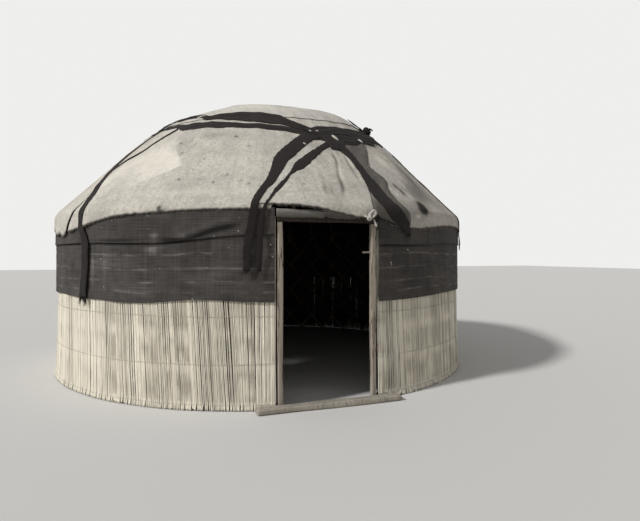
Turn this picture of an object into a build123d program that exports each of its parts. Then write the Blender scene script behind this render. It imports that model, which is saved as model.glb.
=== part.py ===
from build123d import *
import os
from math import asin, cos, degrees, hypot, radians, sin, sqrt, tan

# A small domed felt tent of the high pastures. Millimetres and degrees, +Z up, the doorway faces -Y.
# The origin is on the ground at the middle of the room. An azimuth is counted from -Y towards +X.

# Lattice wall, roof poles and crown
lattice_radius = 2299
lath_width = 30
lath_thickness = 12
lattice_columns = 36
columns_per_section = 4
lattice_rows = 3.5
head_height = 1490
head_tip = 60
lath_overrun = 0.2
pole_width = 28
pole_depth = 28
pole_bend = 48
door_poles = 3
ring_outer_radius = 700
ring_width = 80
ring_height = 72
ring_drop = 148
rib_width = 26
rib_depth = 24
rib_spacing = 75
rib_rise = 124
rib_flats = 7
rib_drop = 37
ribs_each_way = 3

# Door frame
door_clear_width = 774
door_clear_height = 1500
jamb_width = 50
jamb_depth = 50
jamb_lean = 8
lintel_height = 56
frame_face = 2300
threshold_length = 1240
threshold_width = 98
threshold_height = 48
threshold_chamfer = 12
peg_diameter = 16
peg_length = 55
peg_height = 1262

# Wall covering
reed_height = 1556
reed_thickness = 14
reed_screens = 5
reed_foot_flare = 28
reed_bend_flare = 9
reed_bend_height = 480
wall_cloths = 4
cloth_thickness = 8
cloth_lower_edge = 856
cloth_upper_edge = 1576

# Roof felts
roof_pitch = 45
pitch_steps = 5
dome_radius = 2360
crown_height = 3046
eave_bend = 44
felt_edge_height = 1566
felt_thickness = 10.5
felt_top_radius = 716
cover_thickness = 8.5
cover_radius = 1300
left_joint = -61
right_joint = 52
back_joint = 195
front_joint = 11

# Plan points of the triangular felt over the door, past the eave at its foot, and of the inner strap
door_felt_apex = (252, -1299)
door_felt_left = (-741, -2340)
door_felt_right = (588, -2380)
inner_strap_top = (245, -1644)
inner_strap_foot = (-640, -2332)

# Woven straps and trim
front_strap_start = 1500
front_reach = 24
edge_reach = 3
strap_thickness = 4.5
wide_strap_widths = (150, 68)
narrow_strap_widths = (66, 44)
right_strap_widths = (88, 84)
edge_strap_width = 110
edge_strap_inset = 2
crown_band_width = 96
crown_band_inset = 14
lower_band_width = 80
lower_band_gap = 34
front_tail_end = 1120
edge_tail_end = 790
side_tail_end = 1330
flap_length = 580
flap_middle = -70
flap_lift = 4
flap_thickness = 26
flap_height = 52
flap_rounding = 11.8
knot_diameter = 62
knot_thickness = 26
knot_shift = -82

clearance = 0.4
reach = 3200
angle_tolerance = 0.01

ring_inner_radius = ring_outer_radius - ring_width
ring_top = crown_height - ring_drop
lattice_inner = lattice_radius - lath_thickness
jamb_outside = door_clear_width / 2 + jamb_width
door_half_angle = degrees(asin((jamb_outside + clearance) / lattice_inner))
around = 360 - 2 * door_half_angle
column_angle = around / lattice_columns
squeeze = cos(radians(column_angle / 2))
lath_rise = head_height / lattice_rows
fold_half = lattice_radius * sin(radians(column_angle / 2))
lath_steepness = lath_rise / (2 * fold_half)
lath_half_height = lath_width / 2 * sqrt(1 + lath_steepness ** 2)
reed_inner = lattice_radius + (lath_thickness + clearance) / squeeze
reed_outer = reed_inner + reed_thickness / squeeze
cloth_inner = reed_outer + clearance / squeeze
cloth_outer = cloth_inner + cloth_thickness / squeeze
felt_eave_radius = (cloth_outer + clearance) / squeeze + felt_thickness
pole_foot_radius = reed_inner * squeeze - clearance
lintel_top = door_clear_height + lintel_height
edge_strap_start = cover_radius + lower_band_gap + lower_band_width + 2 * clearance
rib_radius = (ring_inner_radius ** 2 + rib_rise ** 2) / (2 * rib_rise)
rib_step = 2 * degrees(asin(ring_inner_radius / rib_radius)) / rib_flats
reed_foot_reach = (reed_outer + reed_foot_flare) * cos(radians(door_half_angle))
threshold_back = max(frame_face, reed_foot_reach) + clearance


def direction(azimuth, radius=1.0):
    """Plan point at an azimuth and a radius."""
    return radius * sin(radians(azimuth)), -radius * cos(radians(azimuth))


def radial_plane(azimuth):
    """Upright plane through the axis, with x outwards along the azimuth and y up."""
    x, y = direction(azimuth)
    return Plane(origin=(0, 0, 0), x_dir=(x, y, 0), z_dir=(y, -x, 0))


def facing_plane(azimuth, radius):
    """Upright plane that faces outwards at an azimuth, with x to the right seen from outside."""
    x, y = direction(azimuth)
    return Plane(origin=(radius * x, radius * y, 0), x_dir=(-y, x, 0), z_dir=(x, y, 0))


def wedge(first, last):
    """Plan corners of the slice of the site between two azimuths."""
    return [(0, 0)] + [direction(a, reach) for a in (first, (first + last) / 2, last)]


def parallel(line, distance):
    """A line of (radius, height) points moved outwards by a distance, with sharp corners."""
    normals = []
    for (r0, z0), (r1, z1) in zip(line, line[1:]):
        run = hypot(r1 - r0, z1 - z0)
        normals.append(((z1 - z0) / run, (r0 - r1) / run))
    moved = []
    for (r, z), (a, b), (c, d) in zip(line, normals[:1] + normals, normals + normals[-1:]):
        share = distance / (1 + a * c + b * d)
        moved.append((r + share * (a + c), z + share * (b + d)))
    return moved


def between(line, outer_radius, inner_radius):
    """The stretch of a roof line from an outer radius in to an inner one."""
    kept = []
    for (r0, z0), (r1, z1) in zip(line, line[1:]):
        if inner_radius <= r0 <= outer_radius:
            kept.append((r0, z0))
        for cut in (outer_radius, inner_radius):
            if r1 < cut < r0:
                kept.append((cut, z0 + (z1 - z0) * (r0 - cut) / (r0 - r1)))
    return kept + [point for point in line[-1:] if point[0] >= inner_radius]


def bent_foot(radius, bottom, shaft_end, bend):
    """Upright foot, one short bend and the pitched shaft up to its end point."""
    corner = shaft_end[1] - (radius - shaft_end[0]) * tan(radians(roof_pitch))
    bend_top = (radius - bend * cos(radians(roof_pitch)), corner + bend * sin(radians(roof_pitch)))
    return [(radius, bottom), (radius, corner - bend), bend_top, shaft_end]


def roof_line():
    """Outer face of the roof felts over a pole: hanging edge, bend, shaft and the flats of the dome."""
    step = roof_pitch / pitch_steps
    flat = cos(radians(step))
    centre = crown_height - (dome_radius + clearance + cover_thickness) / flat
    corner_radius = dome_radius / cos(radians(step / 2))
    corners = [roof_pitch - step * (i + 0.5) for i in range(pitch_steps - 1)]
    dome = [(corner_radius * sin(radians(a)), centre + corner_radius * cos(radians(a))) for a in corners]
    eave = bent_foot(felt_eave_radius, felt_edge_height, dome[0], eave_bend)
    return eave + dome[1:] + [(0, centre + dome_radius / flat)]


felt_line = roof_line()
door_azimuths = [2 * door_half_angle / door_poles * (i - (door_poles - 1) / 2) for i in range(door_poles)]
head_azimuths = [door_half_angle + column_angle * (i + 0.5) for i in range(lattice_columns)]
fold_azimuths = [door_half_angle + column_angle * i for i in range(lattice_columns + 1)]
roof_creases = [azimuth + turn for turn in (-360, 0, 360) for azimuth in door_azimuths + head_azimuths]


def gore(first, last, inner, outer):
    """Flat strip of a layer between two creases, mitred along both of them."""
    narrowing = cos(radians((last - first) / 2))
    with BuildPart() as piece:
        with BuildSketch(radial_plane((first + last) / 2)):
            with BuildLine():
                Polyline(*[(r * narrowing, z) for r, z in outer + inner[::-1]], close=True)
            make_face()
        extrude(amount=reach * sin(radians(last - first)), both=True)
        with BuildSketch():
            with BuildLine():
                Polyline(*wedge(first, last), close=True)
            make_face()
        extrude(amount=2 * crown_height, mode=Mode.INTERSECT)
    return piece.part


def layer_of_gores(first, last, inner, outer, creases=roof_creases):
    """Layer of flat gores with a crease between each two, cut off at a first and a last azimuth."""
    start = max(azimuth for azimuth in creases if azimuth <= first + angle_tolerance)
    end = min(azimuth for azimuth in creases if azimuth >= last - angle_tolerance)
    used = [azimuth for azimuth in creases if start <= azimuth <= end]
    gores = [gore(a, b, inner, outer) for a, b in zip(used, used[1:])]
    with BuildPart() as layer:
        add(gores)
        if last - first < 360:
            with BuildSketch():
                with BuildLine():
                    Polyline(*wedge(first, last), close=True)
                make_face()
            extrude(amount=2 * crown_height, mode=Mode.INTERSECT)
    return layer.part


def felt_panel(first, last):
    """Roof felt between two azimuths, from the hanging edge up to the crown ring."""
    outer = between(felt_line, reach, felt_top_radius)
    inner = between(parallel(felt_line, -felt_thickness), reach, felt_top_radius)
    return layer_of_gores(first, last, inner, outer)


def strap_lines(lift, bottom, outer_radius, inner_radius):
    """Inner and outer line of a strap that lies a lift above the felts and hangs down to a height."""
    lines = []
    for height in (lift, lift + strap_thickness):
        line = parallel(felt_line, height)
        lines.append(between([(line[0][0], bottom)] + line[1:], outer_radius, inner_radius))
    return lines


def front_strap(top, foot, widths, bottom):
    """Strap that narrows straight over the front felts in plan, with a tail that hangs at the eave."""
    inner, outer = strap_lines(clearance, bottom, reach, front_strap_start)
    run = hypot(foot[0] - top[0], foot[1] - top[1])
    across = ((foot[1] - top[1]) / run, (top[0] - foot[0]) / run)
    ends = [(point, width / 2) for point, width in zip((top, foot), widths)]
    offsets = ends + [(point, -half) for point, half in ends[::-1]]
    band = [(x + across[0] * offset, y + across[1] * offset) for (x, y), offset in offsets]
    layer = layer_of_gores(-front_reach, front_reach, inner, outer)
    with BuildPart() as strap:
        add(layer)
        with BuildSketch():
            with BuildLine():
                Polyline(*band, close=True)
            make_face()
        extrude(amount=2 * crown_height, mode=Mode.INTERSECT)
    return strap.part


def edge_strap(azimuth, bottom):
    """Strap laid straight down the slope along the joint of two felts, with a hanging tail."""
    inner, outer = strap_lines(clearance, bottom, reach, edge_strap_start)
    layer = layer_of_gores(azimuth - edge_reach, azimuth + edge_reach, inner, outer)
    with BuildPart() as strap:
        add(layer)
        with BuildSketch(facing_plane(azimuth, 0)):
            Rectangle(edge_strap_width, 4 * crown_height)
        extrude(amount=reach, mode=Mode.INTERSECT)
    return strap.part


def lattice_fold(azimuth):
    """One flat fold of crossed laths: the outer layer leans right, the inner layer leans left."""
    with BuildPart() as fold:
        for lean in (1, -1):
            with BuildSketch(facing_plane(azimuth, lattice_radius * squeeze)):
                for row in range(-1, int(lattice_rows) + 1):
                    low = lath_rise * (row - lath_overrun / 2) - lath_half_height
                    high = lath_rise * (row + 1 + lath_overrun / 2) - lath_half_height
                    right = (1 + lath_overrun) * fold_half * lean
                    left = -right
                    with BuildLine():
                        Polyline((left, low), (right, high), (right, high + 2 * lath_half_height),
                                 (left, low + 2 * lath_half_height), close=True)
                    make_face()
                with Locations((0, (head_height + head_tip) / 2)):
                    Rectangle(3 * fold_half, head_height + head_tip, mode=Mode.INTERSECT)
            extrude(amount=lath_thickness * lean)
        with BuildSketch():
            with BuildLine():
                Polyline(*wedge(azimuth - column_angle / 2, azimuth + column_angle / 2), close=True)
            make_face()
        extrude(amount=crown_height, mode=Mode.INTERSECT)
    return fold.part


def roof_pole(azimuth, foot_height):
    """Roof pole from its foot in a lattice head or on the lintel to the crown ring."""
    shoulder = pole_width / 2 * tan(radians(column_angle / 2))
    under_felt = parallel(felt_line, -(felt_thickness + clearance + shoulder))
    dome = [point for point in under_felt if point[0] <= under_felt[3][0]]
    back = bent_foot(pole_foot_radius, foot_height, under_felt[3], pole_bend) + dome[1:]
    belly = parallel(back, -pole_depth)
    end = ring_outer_radius + clearance
    with BuildPart() as pole:
        with BuildSketch(radial_plane(azimuth)):
            with BuildLine():
                Polyline(*(between(back, reach, end) + between(belly, reach, end)[::-1]), close=True)
            make_face()
        extrude(amount=pole_width / 2, both=True)
    return pole.part


def arch_line(top, depth):
    """Line of a rib at a depth below its back: equal flats round the arch, with a level one in the middle."""
    corner_radius = (rib_radius - depth) / cos(radians(rib_step / 2))
    turns = [rib_step * (i - rib_flats / 2) for i in range(-1, rib_flats + 2)]
    return [(corner_radius * sin(radians(turn)), top - rib_radius + corner_radius * cos(radians(turn)))
            for turn in turns]


def crown_rib(run_plane, offset, top):
    """Arched rib between the inner faces of the crown ring."""
    with BuildPart() as rib:
        with BuildSketch(run_plane.offset(offset)):
            with BuildLine():
                Polyline(*(arch_line(top, 0) + arch_line(top, rib_depth)[::-1]), close=True)
            make_face()
        extrude(amount=rib_width / 2, both=True)
        with BuildSketch():
            Circle(ring_inner_radius - clearance)
        extrude(amount=2 * crown_height, mode=Mode.INTERSECT)
    return rib.part


def save(piece, name):
    """Label a finished piece and write it to its own file."""
    piece.label = name
    export_step(piece, f"parts/{name}.step")


os.makedirs("parts", exist_ok=True)

# Lattice wall in sections of a few folds, its laths fused where they cross
for section_index in range(lattice_columns // columns_per_section):
    columns = [columns_per_section * section_index + i for i in range(columns_per_section)]
    folds = [lattice_fold(head_azimuths[column]) for column in columns]
    with BuildPart() as lattice_section:
        add(folds)
    save(lattice_section.part, f"lattice_section_{section_index + 1}")

# Roof poles, in a quarter of the roof each, with their feet in the forks of the lattice heads
fork_seat = head_height + lath_half_height + pole_width / 2 * lath_steepness + clearance
door_roof_poles = [roof_pole(azimuth, lintel_top + clearance) for azimuth in door_azimuths]
wall_roof_poles = [roof_pole(azimuth, fork_seat) for azimuth in head_azimuths]
with BuildPart() as roof_poles_door:
    add(door_roof_poles)
save(roof_poles_door.part, "roof_poles_door")
for index, name in enumerate(("roof_poles_right", "roof_poles_back", "roof_poles_left")):
    share = lattice_columns // 3
    with BuildPart() as roof_poles:
        add(wall_roof_poles[share * index:share * (index + 1)])
    save(roof_poles.part, name)

# Crown ring with two crossing sets of arched ribs
with BuildPart() as crown_ring:
    with BuildSketch(Plane.XY.offset(ring_top - ring_height)):
        Circle(ring_outer_radius)
        Circle(ring_inner_radius, mode=Mode.SUBTRACT)
    extrude(amount=ring_height)
save(crown_ring.part, "crown_ring")

rib_offsets = [rib_spacing * (i - (ribs_each_way - 1) / 2) for i in range(ribs_each_way)]
crossing_edge = rib_offsets[-1] + rib_width / 2
level_half = (rib_radius - rib_depth) * tan(radians(rib_step / 2))
crossing_sag = max(0, crossing_edge - level_half) * tan(radians(rib_step))
upper_rib_top = crown_height - rib_drop
lower_rib_top = upper_rib_top - rib_depth - crossing_sag - clearance
upper_ribs = [crown_rib(Plane.XZ, offset, upper_rib_top) for offset in rib_offsets]
lower_ribs = [crown_rib(Plane.YZ, offset, lower_rib_top) for offset in rib_offsets]
with BuildPart() as crown_ribs_upper:
    add(upper_ribs)
save(crown_ribs_upper.part, "crown_ribs_upper")
with BuildPart() as crown_ribs_lower:
    add(lower_ribs)
save(crown_ribs_lower.part, "crown_ribs_lower")

# Door frame: upright left jamb, leaning right jamb with a peg, lintel, and a threshold log in front
half_width = door_clear_width / 2
with BuildPart() as door_jamb_left:
    with BuildSketch(Plane.XZ.offset(frame_face)):
        with Locations((-half_width - jamb_width / 2, door_clear_height / 2)):
            Rectangle(jamb_width, door_clear_height)
    extrude(amount=-jamb_depth)
save(door_jamb_left.part, "door_jamb_left")

lean_at_peg = jamb_lean * peg_height / door_clear_height
with BuildPart() as door_jamb_right:
    with BuildSketch(Plane.XZ.offset(frame_face)):
        with BuildLine():
            Polyline((half_width, 0), (half_width + jamb_width, 0),
                     (half_width + jamb_width - jamb_lean, door_clear_height),
                     (half_width - jamb_lean, door_clear_height), close=True)
        make_face()
    extrude(amount=-jamb_depth)
    with BuildSketch(Plane.YZ.offset(half_width - lean_at_peg + jamb_width / 2)):
        with Locations((-frame_face + jamb_depth / 2, peg_height)):
            RegularPolygon(radius=peg_diameter / 2, side_count=8)
    extrude(amount=-peg_length - jamb_width / 2)
save(door_jamb_right.part, "door_jamb_right")

with BuildPart() as door_lintel:
    with BuildSketch(Plane.XZ.offset(frame_face)):
        with Locations((0, door_clear_height + lintel_height / 2)):
            Rectangle(2 * jamb_outside, lintel_height)
    extrude(amount=-jamb_depth)
save(door_lintel.part, "door_lintel")

with BuildPart() as threshold:
    with BuildSketch():
        with Locations((0, -threshold_back - threshold_width / 2)):
            Rectangle(threshold_length, threshold_width)
    extrude(amount=threshold_height)
    upper_edges = threshold.edges().group_by(Axis.Z)[-1]
    chamfer(upper_edges, length=threshold_chamfer)
save(threshold.part, "threshold")

# Reed screens that flare towards the ground, and the dark wall cloth round their upper half
flares = [(reed_foot_flare, 0), (reed_bend_flare, reed_bend_height), (0, cloth_lower_edge), (0, reed_height)]
reed_lines = [[(radius + flare, height) for flare, height in flares] for radius in (reed_inner, reed_outer)]
for index in range(reed_screens):
    first = door_half_angle + around / reed_screens * index
    reed_screen = layer_of_gores(first, first + around / reed_screens, *reed_lines, fold_azimuths)
    save(reed_screen, f"reed_screen_{index + 1}")
cloth_edges = (cloth_lower_edge, cloth_upper_edge)
cloth_lines = [[(radius, height) for height in cloth_edges] for radius in (cloth_inner, cloth_outer)]
for index in range(wall_cloths):
    first = door_half_angle + around / wall_cloths * index
    wall_cloth = layer_of_gores(first, first + around / wall_cloths, *cloth_lines, fold_azimuths)
    save(wall_cloth, f"wall_cloth_{index + 1}")

# Roof felts: the felt over the door has straight sides in plan that run under the front straps
door_felt_corners = [door_felt_apex, door_felt_left, door_felt_right]
front_felt = felt_panel(-front_reach, front_reach)
with BuildPart() as roof_felt_door:
    add(front_felt)
    with BuildSketch():
        with BuildLine():
            Polyline(*door_felt_corners, close=True)
        make_face()
    extrude(amount=2 * crown_height, mode=Mode.INTERSECT)
save(roof_felt_door.part, "roof_felt_door")

left_felt = felt_panel(left_joint, front_joint)
right_felt = felt_panel(front_joint, right_joint)
for felt, name in ((left_felt, "roof_felt_front_left"), (right_felt, "roof_felt_front_right")):
    with BuildPart() as roof_felt_front:
        add(felt)
        with BuildSketch():
            with BuildLine():
                Polyline(*door_felt_corners, close=True)
            make_face()
        extrude(amount=2 * crown_height, mode=Mode.SUBTRACT)
    save(roof_felt_front.part, name)
save(felt_panel(right_joint, back_joint), "roof_felt_back_right")
save(felt_panel(back_joint, left_joint + 360), "roof_felt_back_left")

# Crown cover and the two woven bands round it
cover_inner = between(parallel(felt_line, clearance), cover_radius, 0)
cover_outer = between(parallel(felt_line, clearance + cover_thickness), cover_radius, 0)
save(layer_of_gores(0, 360, cover_inner, cover_outer), "crown_cover")
band_edge = cover_radius - crown_band_inset
band_lines = strap_lines(2 * clearance + cover_thickness, 0, band_edge, band_edge - crown_band_width)
save(layer_of_gores(0, 360, *band_lines), "crown_band_upper")
lower_edge = cover_radius + lower_band_gap
lower_lines = strap_lines(clearance, 0, lower_edge + lower_band_width, lower_edge)
save(layer_of_gores(0, 360, *lower_lines), "crown_band_lower")

# Straps with hanging tails
front_straps = {
    "strap_front_left_wide": (door_felt_apex, door_felt_left, wide_strap_widths, front_tail_end),
    "strap_front_left_narrow": (inner_strap_top, inner_strap_foot, narrow_strap_widths, front_tail_end),
    "strap_front_right": (door_felt_apex, door_felt_right, right_strap_widths, side_tail_end),
}
for name, route in front_straps.items():
    save(front_strap(*route), name)
save(edge_strap(left_joint + edge_strap_inset, edge_tail_end), "strap_left_edge")
save(edge_strap(right_joint - edge_strap_inset, side_tail_end), "strap_right_edge")
save(edge_strap(back_joint, side_tail_end), "strap_back")

# Rolled door flap in front of the lintel, and the felt knot at the corner of the door felt
flap_level = door_clear_height + flap_lift + flap_height / 2
with BuildPart() as door_flap:
    with BuildSketch(Plane.YZ.offset(flap_middle - flap_length / 2)):
        with Locations((-frame_face - clearance - flap_thickness / 2, flap_level)):
            RectangleRounded(flap_thickness, flap_height, radius=flap_rounding)
    extrude(amount=flap_length)
save(door_flap.part, "door_flap")
knot_gore = (door_azimuths[-1], head_azimuths[0])
knot_seat = felt_eave_radius * cos(radians(knot_gore[1] - knot_gore[0]) / 2) + clearance
with BuildPart() as felt_knot:
    with BuildSketch(facing_plane(sum(knot_gore) / 2, knot_seat)):
        with Locations((knot_shift, felt_edge_height)):
            RegularPolygon(radius=knot_diameter / 2, side_count=8)
    extrude(amount=knot_thickness)
save(felt_knot.part, "felt_knot")
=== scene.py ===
"""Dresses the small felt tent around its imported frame: felts, straps, wall cloth, reeds and timber.

Lengths are metres. An azimuth is in degrees, counted from the doorway (-Y) towards +X. On the roof, a
distance is measured down the slope from the crown, over the eave and down the hanging edge.
"""

import logging
from collections.abc import Sequence
from dataclasses import dataclass, field
from enum import Enum

import bpy
import numpy as np
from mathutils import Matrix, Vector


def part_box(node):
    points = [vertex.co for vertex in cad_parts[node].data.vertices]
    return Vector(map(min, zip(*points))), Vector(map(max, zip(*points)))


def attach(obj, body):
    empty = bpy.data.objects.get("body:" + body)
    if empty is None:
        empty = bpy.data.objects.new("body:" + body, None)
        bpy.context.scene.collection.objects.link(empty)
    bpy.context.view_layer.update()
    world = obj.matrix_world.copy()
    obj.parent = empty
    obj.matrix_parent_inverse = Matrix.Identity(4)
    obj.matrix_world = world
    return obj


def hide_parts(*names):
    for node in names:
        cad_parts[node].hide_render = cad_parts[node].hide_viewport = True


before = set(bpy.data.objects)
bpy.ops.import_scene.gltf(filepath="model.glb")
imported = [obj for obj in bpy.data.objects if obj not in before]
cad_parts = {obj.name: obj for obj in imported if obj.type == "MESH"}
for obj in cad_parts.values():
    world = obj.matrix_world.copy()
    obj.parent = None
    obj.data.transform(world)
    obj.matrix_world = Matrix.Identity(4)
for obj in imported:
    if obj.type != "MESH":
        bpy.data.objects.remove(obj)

Array = np.ndarray
Edges = list[tuple[float, float]]
Line = tuple[tuple[float, float], ...]
Spot = tuple[float, float, float, float, float]
Colour = tuple[float, float, float]
Places = dict[str, bpy.types.NodeSocket]
Socket = bpy.types.NodeSocket
Material = bpy.types.Material
# Radius of the lattice at the jambs, and how many of its heads carry a pole
WALL_RADIUS = 2.287
HEADS = 36
# Drift of a ripple's line across its waves, and how many places a curve gets for each of its points
SLANT = 0.37
SAMPLES = 60
# Directions that ropes and knots are wound about
UP = np.array([0.0, 0.0, 1.0])
OUTWARD = np.array([0.1, -1.0, 0.1])
ASIDE = np.array([0.9, -1.0, 0.2])
log = logging.getLogger("felt_tent")


class Edge(Enum):
    """How uneven the edge of a cloth is, in metres."""

    WORN = 0.004
    RAGGED = 0.008


# Shapes from arrays


def spot(azimuth: Array, radius: Array, height: Array) -> Array:
    """Points on a round plan: x is radius times the sine of the azimuth, y minus radius times its cosine.

    Args:
        azimuth: azimuths in degrees.
        radius: plan radii.
        height: heights.

    Returns:
        Points with x, y and z on the last axis.
    """
    turn = np.radians(azimuth)
    radius, height = np.broadcast_arrays(radius, height)
    return np.stack([radius * np.sin(turn), -radius * np.cos(turn), height + 0 * turn], -1)


def ease(share: Array) -> Array:
    """Smooth step from 0 to 1: three times the square of the share minus twice its cube."""
    share = np.clip(share, 0, 1)
    return share * share * (3 - 2 * share)


def bell(offset: Array, width: float) -> Array:
    """Bell curve: e to the minus square of offset over width."""
    return np.exp(-((offset / width) ** 2))


def quarter(share: Array) -> Array:
    """Quarter round from 0 to 1: the root of one minus the square of one minus the share."""
    return np.sqrt(np.clip(1 - (1 - np.clip(share, 0, 1)) ** 2, 0, 1))


def circle(count: int) -> Array:
    """Turns in radians at even steps round a circle."""
    return np.linspace(0, 2 * np.pi, count, endpoint=False)


def disc(turn: Array) -> Array:
    """Level unit vectors at turns: the cosine, the sine and 0."""
    return np.stack([np.cos(turn), np.sin(turn), 0 * turn], -1)


def turned(azimuth: Array, middle: float = 0.0) -> Array:
    """Azimuth counted from a middle one, from -180 to 180 degrees."""
    return np.mod(azimuth + (180 - middle), 360) - 180


@dataclass(frozen=True)
class Ripple:
    """Seeded smooth unevenness.

    Its height is the size times the mean of sine waves in random directions, scaled so that the size is
    about two standard deviations.
    """

    size: float
    length: float
    seed: int
    waves: int = 11

    def at(self, points: Array) -> Array:
        """Height at each point.

        Args:
            points: places, with x, y and z on the last axis.

        Returns:
            One height in metres for each place.
        """
        random = np.random.default_rng(self.seed)
        way = random.normal(size=(self.waves, 3))
        way /= np.linalg.norm(way, axis=1, keepdims=True)
        number = 2 * np.pi / (self.length * random.uniform(0.65, 1.6, self.waves))
        phase = random.uniform(0, 2 * np.pi, self.waves)
        total = sum(np.sin(points @ (w * n) + p) for w, n, p in zip(way, number, phase))
        return self.size * total / np.sqrt(2 * self.waves)

    def line(self, run: Array) -> Array:
        """Height along a slanting line, at each run in metres."""
        run = np.asarray(run, float)
        return self.at(np.stack([run, SLANT * run, 0 * run], -1))


def flowing(points: list[tuple[float, ...] | Array], count: int) -> Array:
    """Smooth curve through points.

    Each span is a cubic whose end slopes are half the chord between the neighbours (Catmull and Rom).

    Args:
        points: the points in order.
        count: how many places the curve is given at.

    Returns:
        Array of count places.
    """
    p = np.asarray(points, float)
    p = np.vstack([2 * p[0] - p[1], p, 2 * p[-1] - p[-2]])
    t = np.linspace(0, len(p) - 3, count)
    i = np.minimum(t.astype(int), len(p) - 4)
    f = (t - i)[:, None]
    a, b, c, d = p[i], p[i + 1], p[i + 2], p[i + 3]
    return 0.5 * (2 * b + (c - a) * f + (2 * a - 5 * b + 4 * c - d) * f**2 + (3 * b - a - 3 * c + d) * f**3)


def level(points: Edges, azimuth: Array) -> Array:
    """Value at each azimuth of the smooth curve through (azimuth, value) points."""
    curve = flowing(points, SAMPLES * len(points))
    return np.interp(azimuth, curve[:, 0], curve[:, 1])


def resampled(at: Array, run: Array, line: Array) -> Array:
    """Both coordinates of a line, given by run, read off at other places."""
    return np.stack([np.interp(at, run, line[:, k]) for k in (0, 1)], -1)


def spaced(length: float, step: float, rim: float) -> Array:
    """Places from 0 to a length at about a step, with three more near each end for a rounded rim.

    Args:
        length: where the last place is.
        step: wanted distance between places.
        rim: width of the rounded rim.

    Returns:
        The places in order.
    """
    inner = np.linspace(rim, length - rim, max(3, round((length - 2 * rim) / step) + 1))
    start = rim * np.array([0, 0.12, 0.45])
    return np.concatenate([start, inner, length - start[::-1]])


def swell(rows: Array, cols: Array, rim: float) -> Array:
    """Share of full thickness over a grid: a quarter round that rises from the edge over the rim's width."""
    return quarter(
        np.minimum.outer(np.minimum(rows, rows[-1] - rows), np.minimum(cols, cols[-1] - cols)) / rim
    )


@dataclass
class Shape:
    """Points and faces of a closed mesh, each point's cut coordinates and tone, and a sheet's net area."""

    points: Array
    faces: dict[int, Array]
    cut: Array
    tone: Array
    area: float = 0.0


def quads(index: Array) -> Array:
    """Four corners of every cell of a grid, or of several grids, of point numbers."""
    cells = index[..., :-1, :-1], index[..., 1:, :-1], index[..., 1:, 1:], index[..., :-1, 1:]
    return np.stack(cells, -1).reshape(-1, 4)


def shell(middle: Array, thickness: Array, cut: Array, tone: Array | None = None) -> Shape:
    """Closed sheet of cloth.

    Both faces are the middle surface moved by half the thickness along its normal, which is the cross
    product of its two slopes. The thickness is 0 on the border, where the faces share their points.

    Args:
        middle: grid of points, rows by columns by 3.
        thickness: grid of thicknesses.
        cut: grid of cut coordinates in metres, rows by columns by 2.
        tone: grid of tones, or None for 0 all over.

    Returns:
        The closed shape. Its area is half the cross products of the diagonals of all cells.
    """
    diagonals = middle[1:, 1:] - middle[:-1, :-1], middle[1:, :-1] - middle[:-1, 1:]
    area = float(np.linalg.norm(np.cross(*diagonals), axis=-1).sum()) / 2
    normal = np.cross(np.gradient(middle, axis=0), np.gradient(middle, axis=1))
    normal /= np.linalg.norm(normal, axis=-1, keepdims=True) + 1e-12
    half = normal * thickness[..., None] / 2
    tone = np.zeros(thickness.shape) if tone is None else np.broadcast_to(tone, thickness.shape)
    inside = np.zeros(thickness.shape, bool)
    inside[1:-1, 1:-1] = True
    front = np.arange(thickness.size).reshape(thickness.shape)
    back = front.copy()
    back[inside] = thickness.size + np.arange(inside.sum())
    return Shape(
        np.vstack([(middle + half * inside[..., None]).reshape(-1, 3), (middle - half)[inside]]),
        {4: np.vstack([quads(front), quads(back)[:, ::-1]])}, np.vstack([cut.reshape(-1, 2), cut[inside]]),
        np.concatenate([tone.reshape(-1), tone[inside]]), area
    )


def tubes(rings: Array, looped: bool = False, tone: Array | None = None) -> Shape:
    """Closed tubes, each a row of rings joined by four-cornered faces and ended by fans to a middle point.

    Args:
        rings: points as tube by ring by corner by 3.
        looped: True joins the last ring to the first one, with no ends.
        tone: one tone for each tube or each of its rings, or None for 0.

    Returns:
        The closed shape, with cut coordinates round and along each tube.
    """
    count, length, sides = rings.shape[:3]
    index = np.arange(count * length * sides).reshape(count, length, sides)
    index = np.concatenate([index, index[:, :, :1]], 2)
    if looped:
        index = np.concatenate([index, index[:, :1]], 1)
    faces = {4: quads(index)}
    run = np.linalg.norm(np.diff(rings.mean(2), axis=1), axis=-1).cumsum(1)
    run = np.concatenate([np.zeros((count, 1)), run], 1)
    girth = np.linalg.norm(rings[:, :, 1] - rings[:, :, 0], axis=-1)[..., None] * np.arange(sides)
    cut = np.stack([girth, np.broadcast_to(run[..., None], girth.shape)], -1).reshape(-1, 2)
    tone = np.zeros(count) if tone is None else tone
    tone = np.broadcast_to(tone.reshape(count, -1), (count, length))
    points, tones = rings.reshape(-1, 3), np.repeat(tone.reshape(-1), sides)
    if not looped:
        first = len(points) + np.arange(count)
        last = first + count
        start, end = index[:, 0], index[:, -1]
        fans = [
            np.stack([np.broadcast_to(first[:, None], (count, sides)), start[:, :-1], start[:, 1:]], -1),
            np.stack([np.broadcast_to(last[:, None], (count, sides)), end[:, 1:], end[:, :-1]], -1)
        ]
        faces[3] = np.concatenate(fans).reshape(-1, 3)
        points = np.vstack([points, rings[:, 0].mean(1), rings[:, -1].mean(1)])
        ends = np.stack([np.zeros(count), run[:, -1]], -1)
        cut = np.vstack([cut, np.zeros((count, 2)), ends])
        tones = np.concatenate([tones, tone[:, 0], tone[:, -1]])
    return Shape(points, faces, cut, tones)


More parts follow.
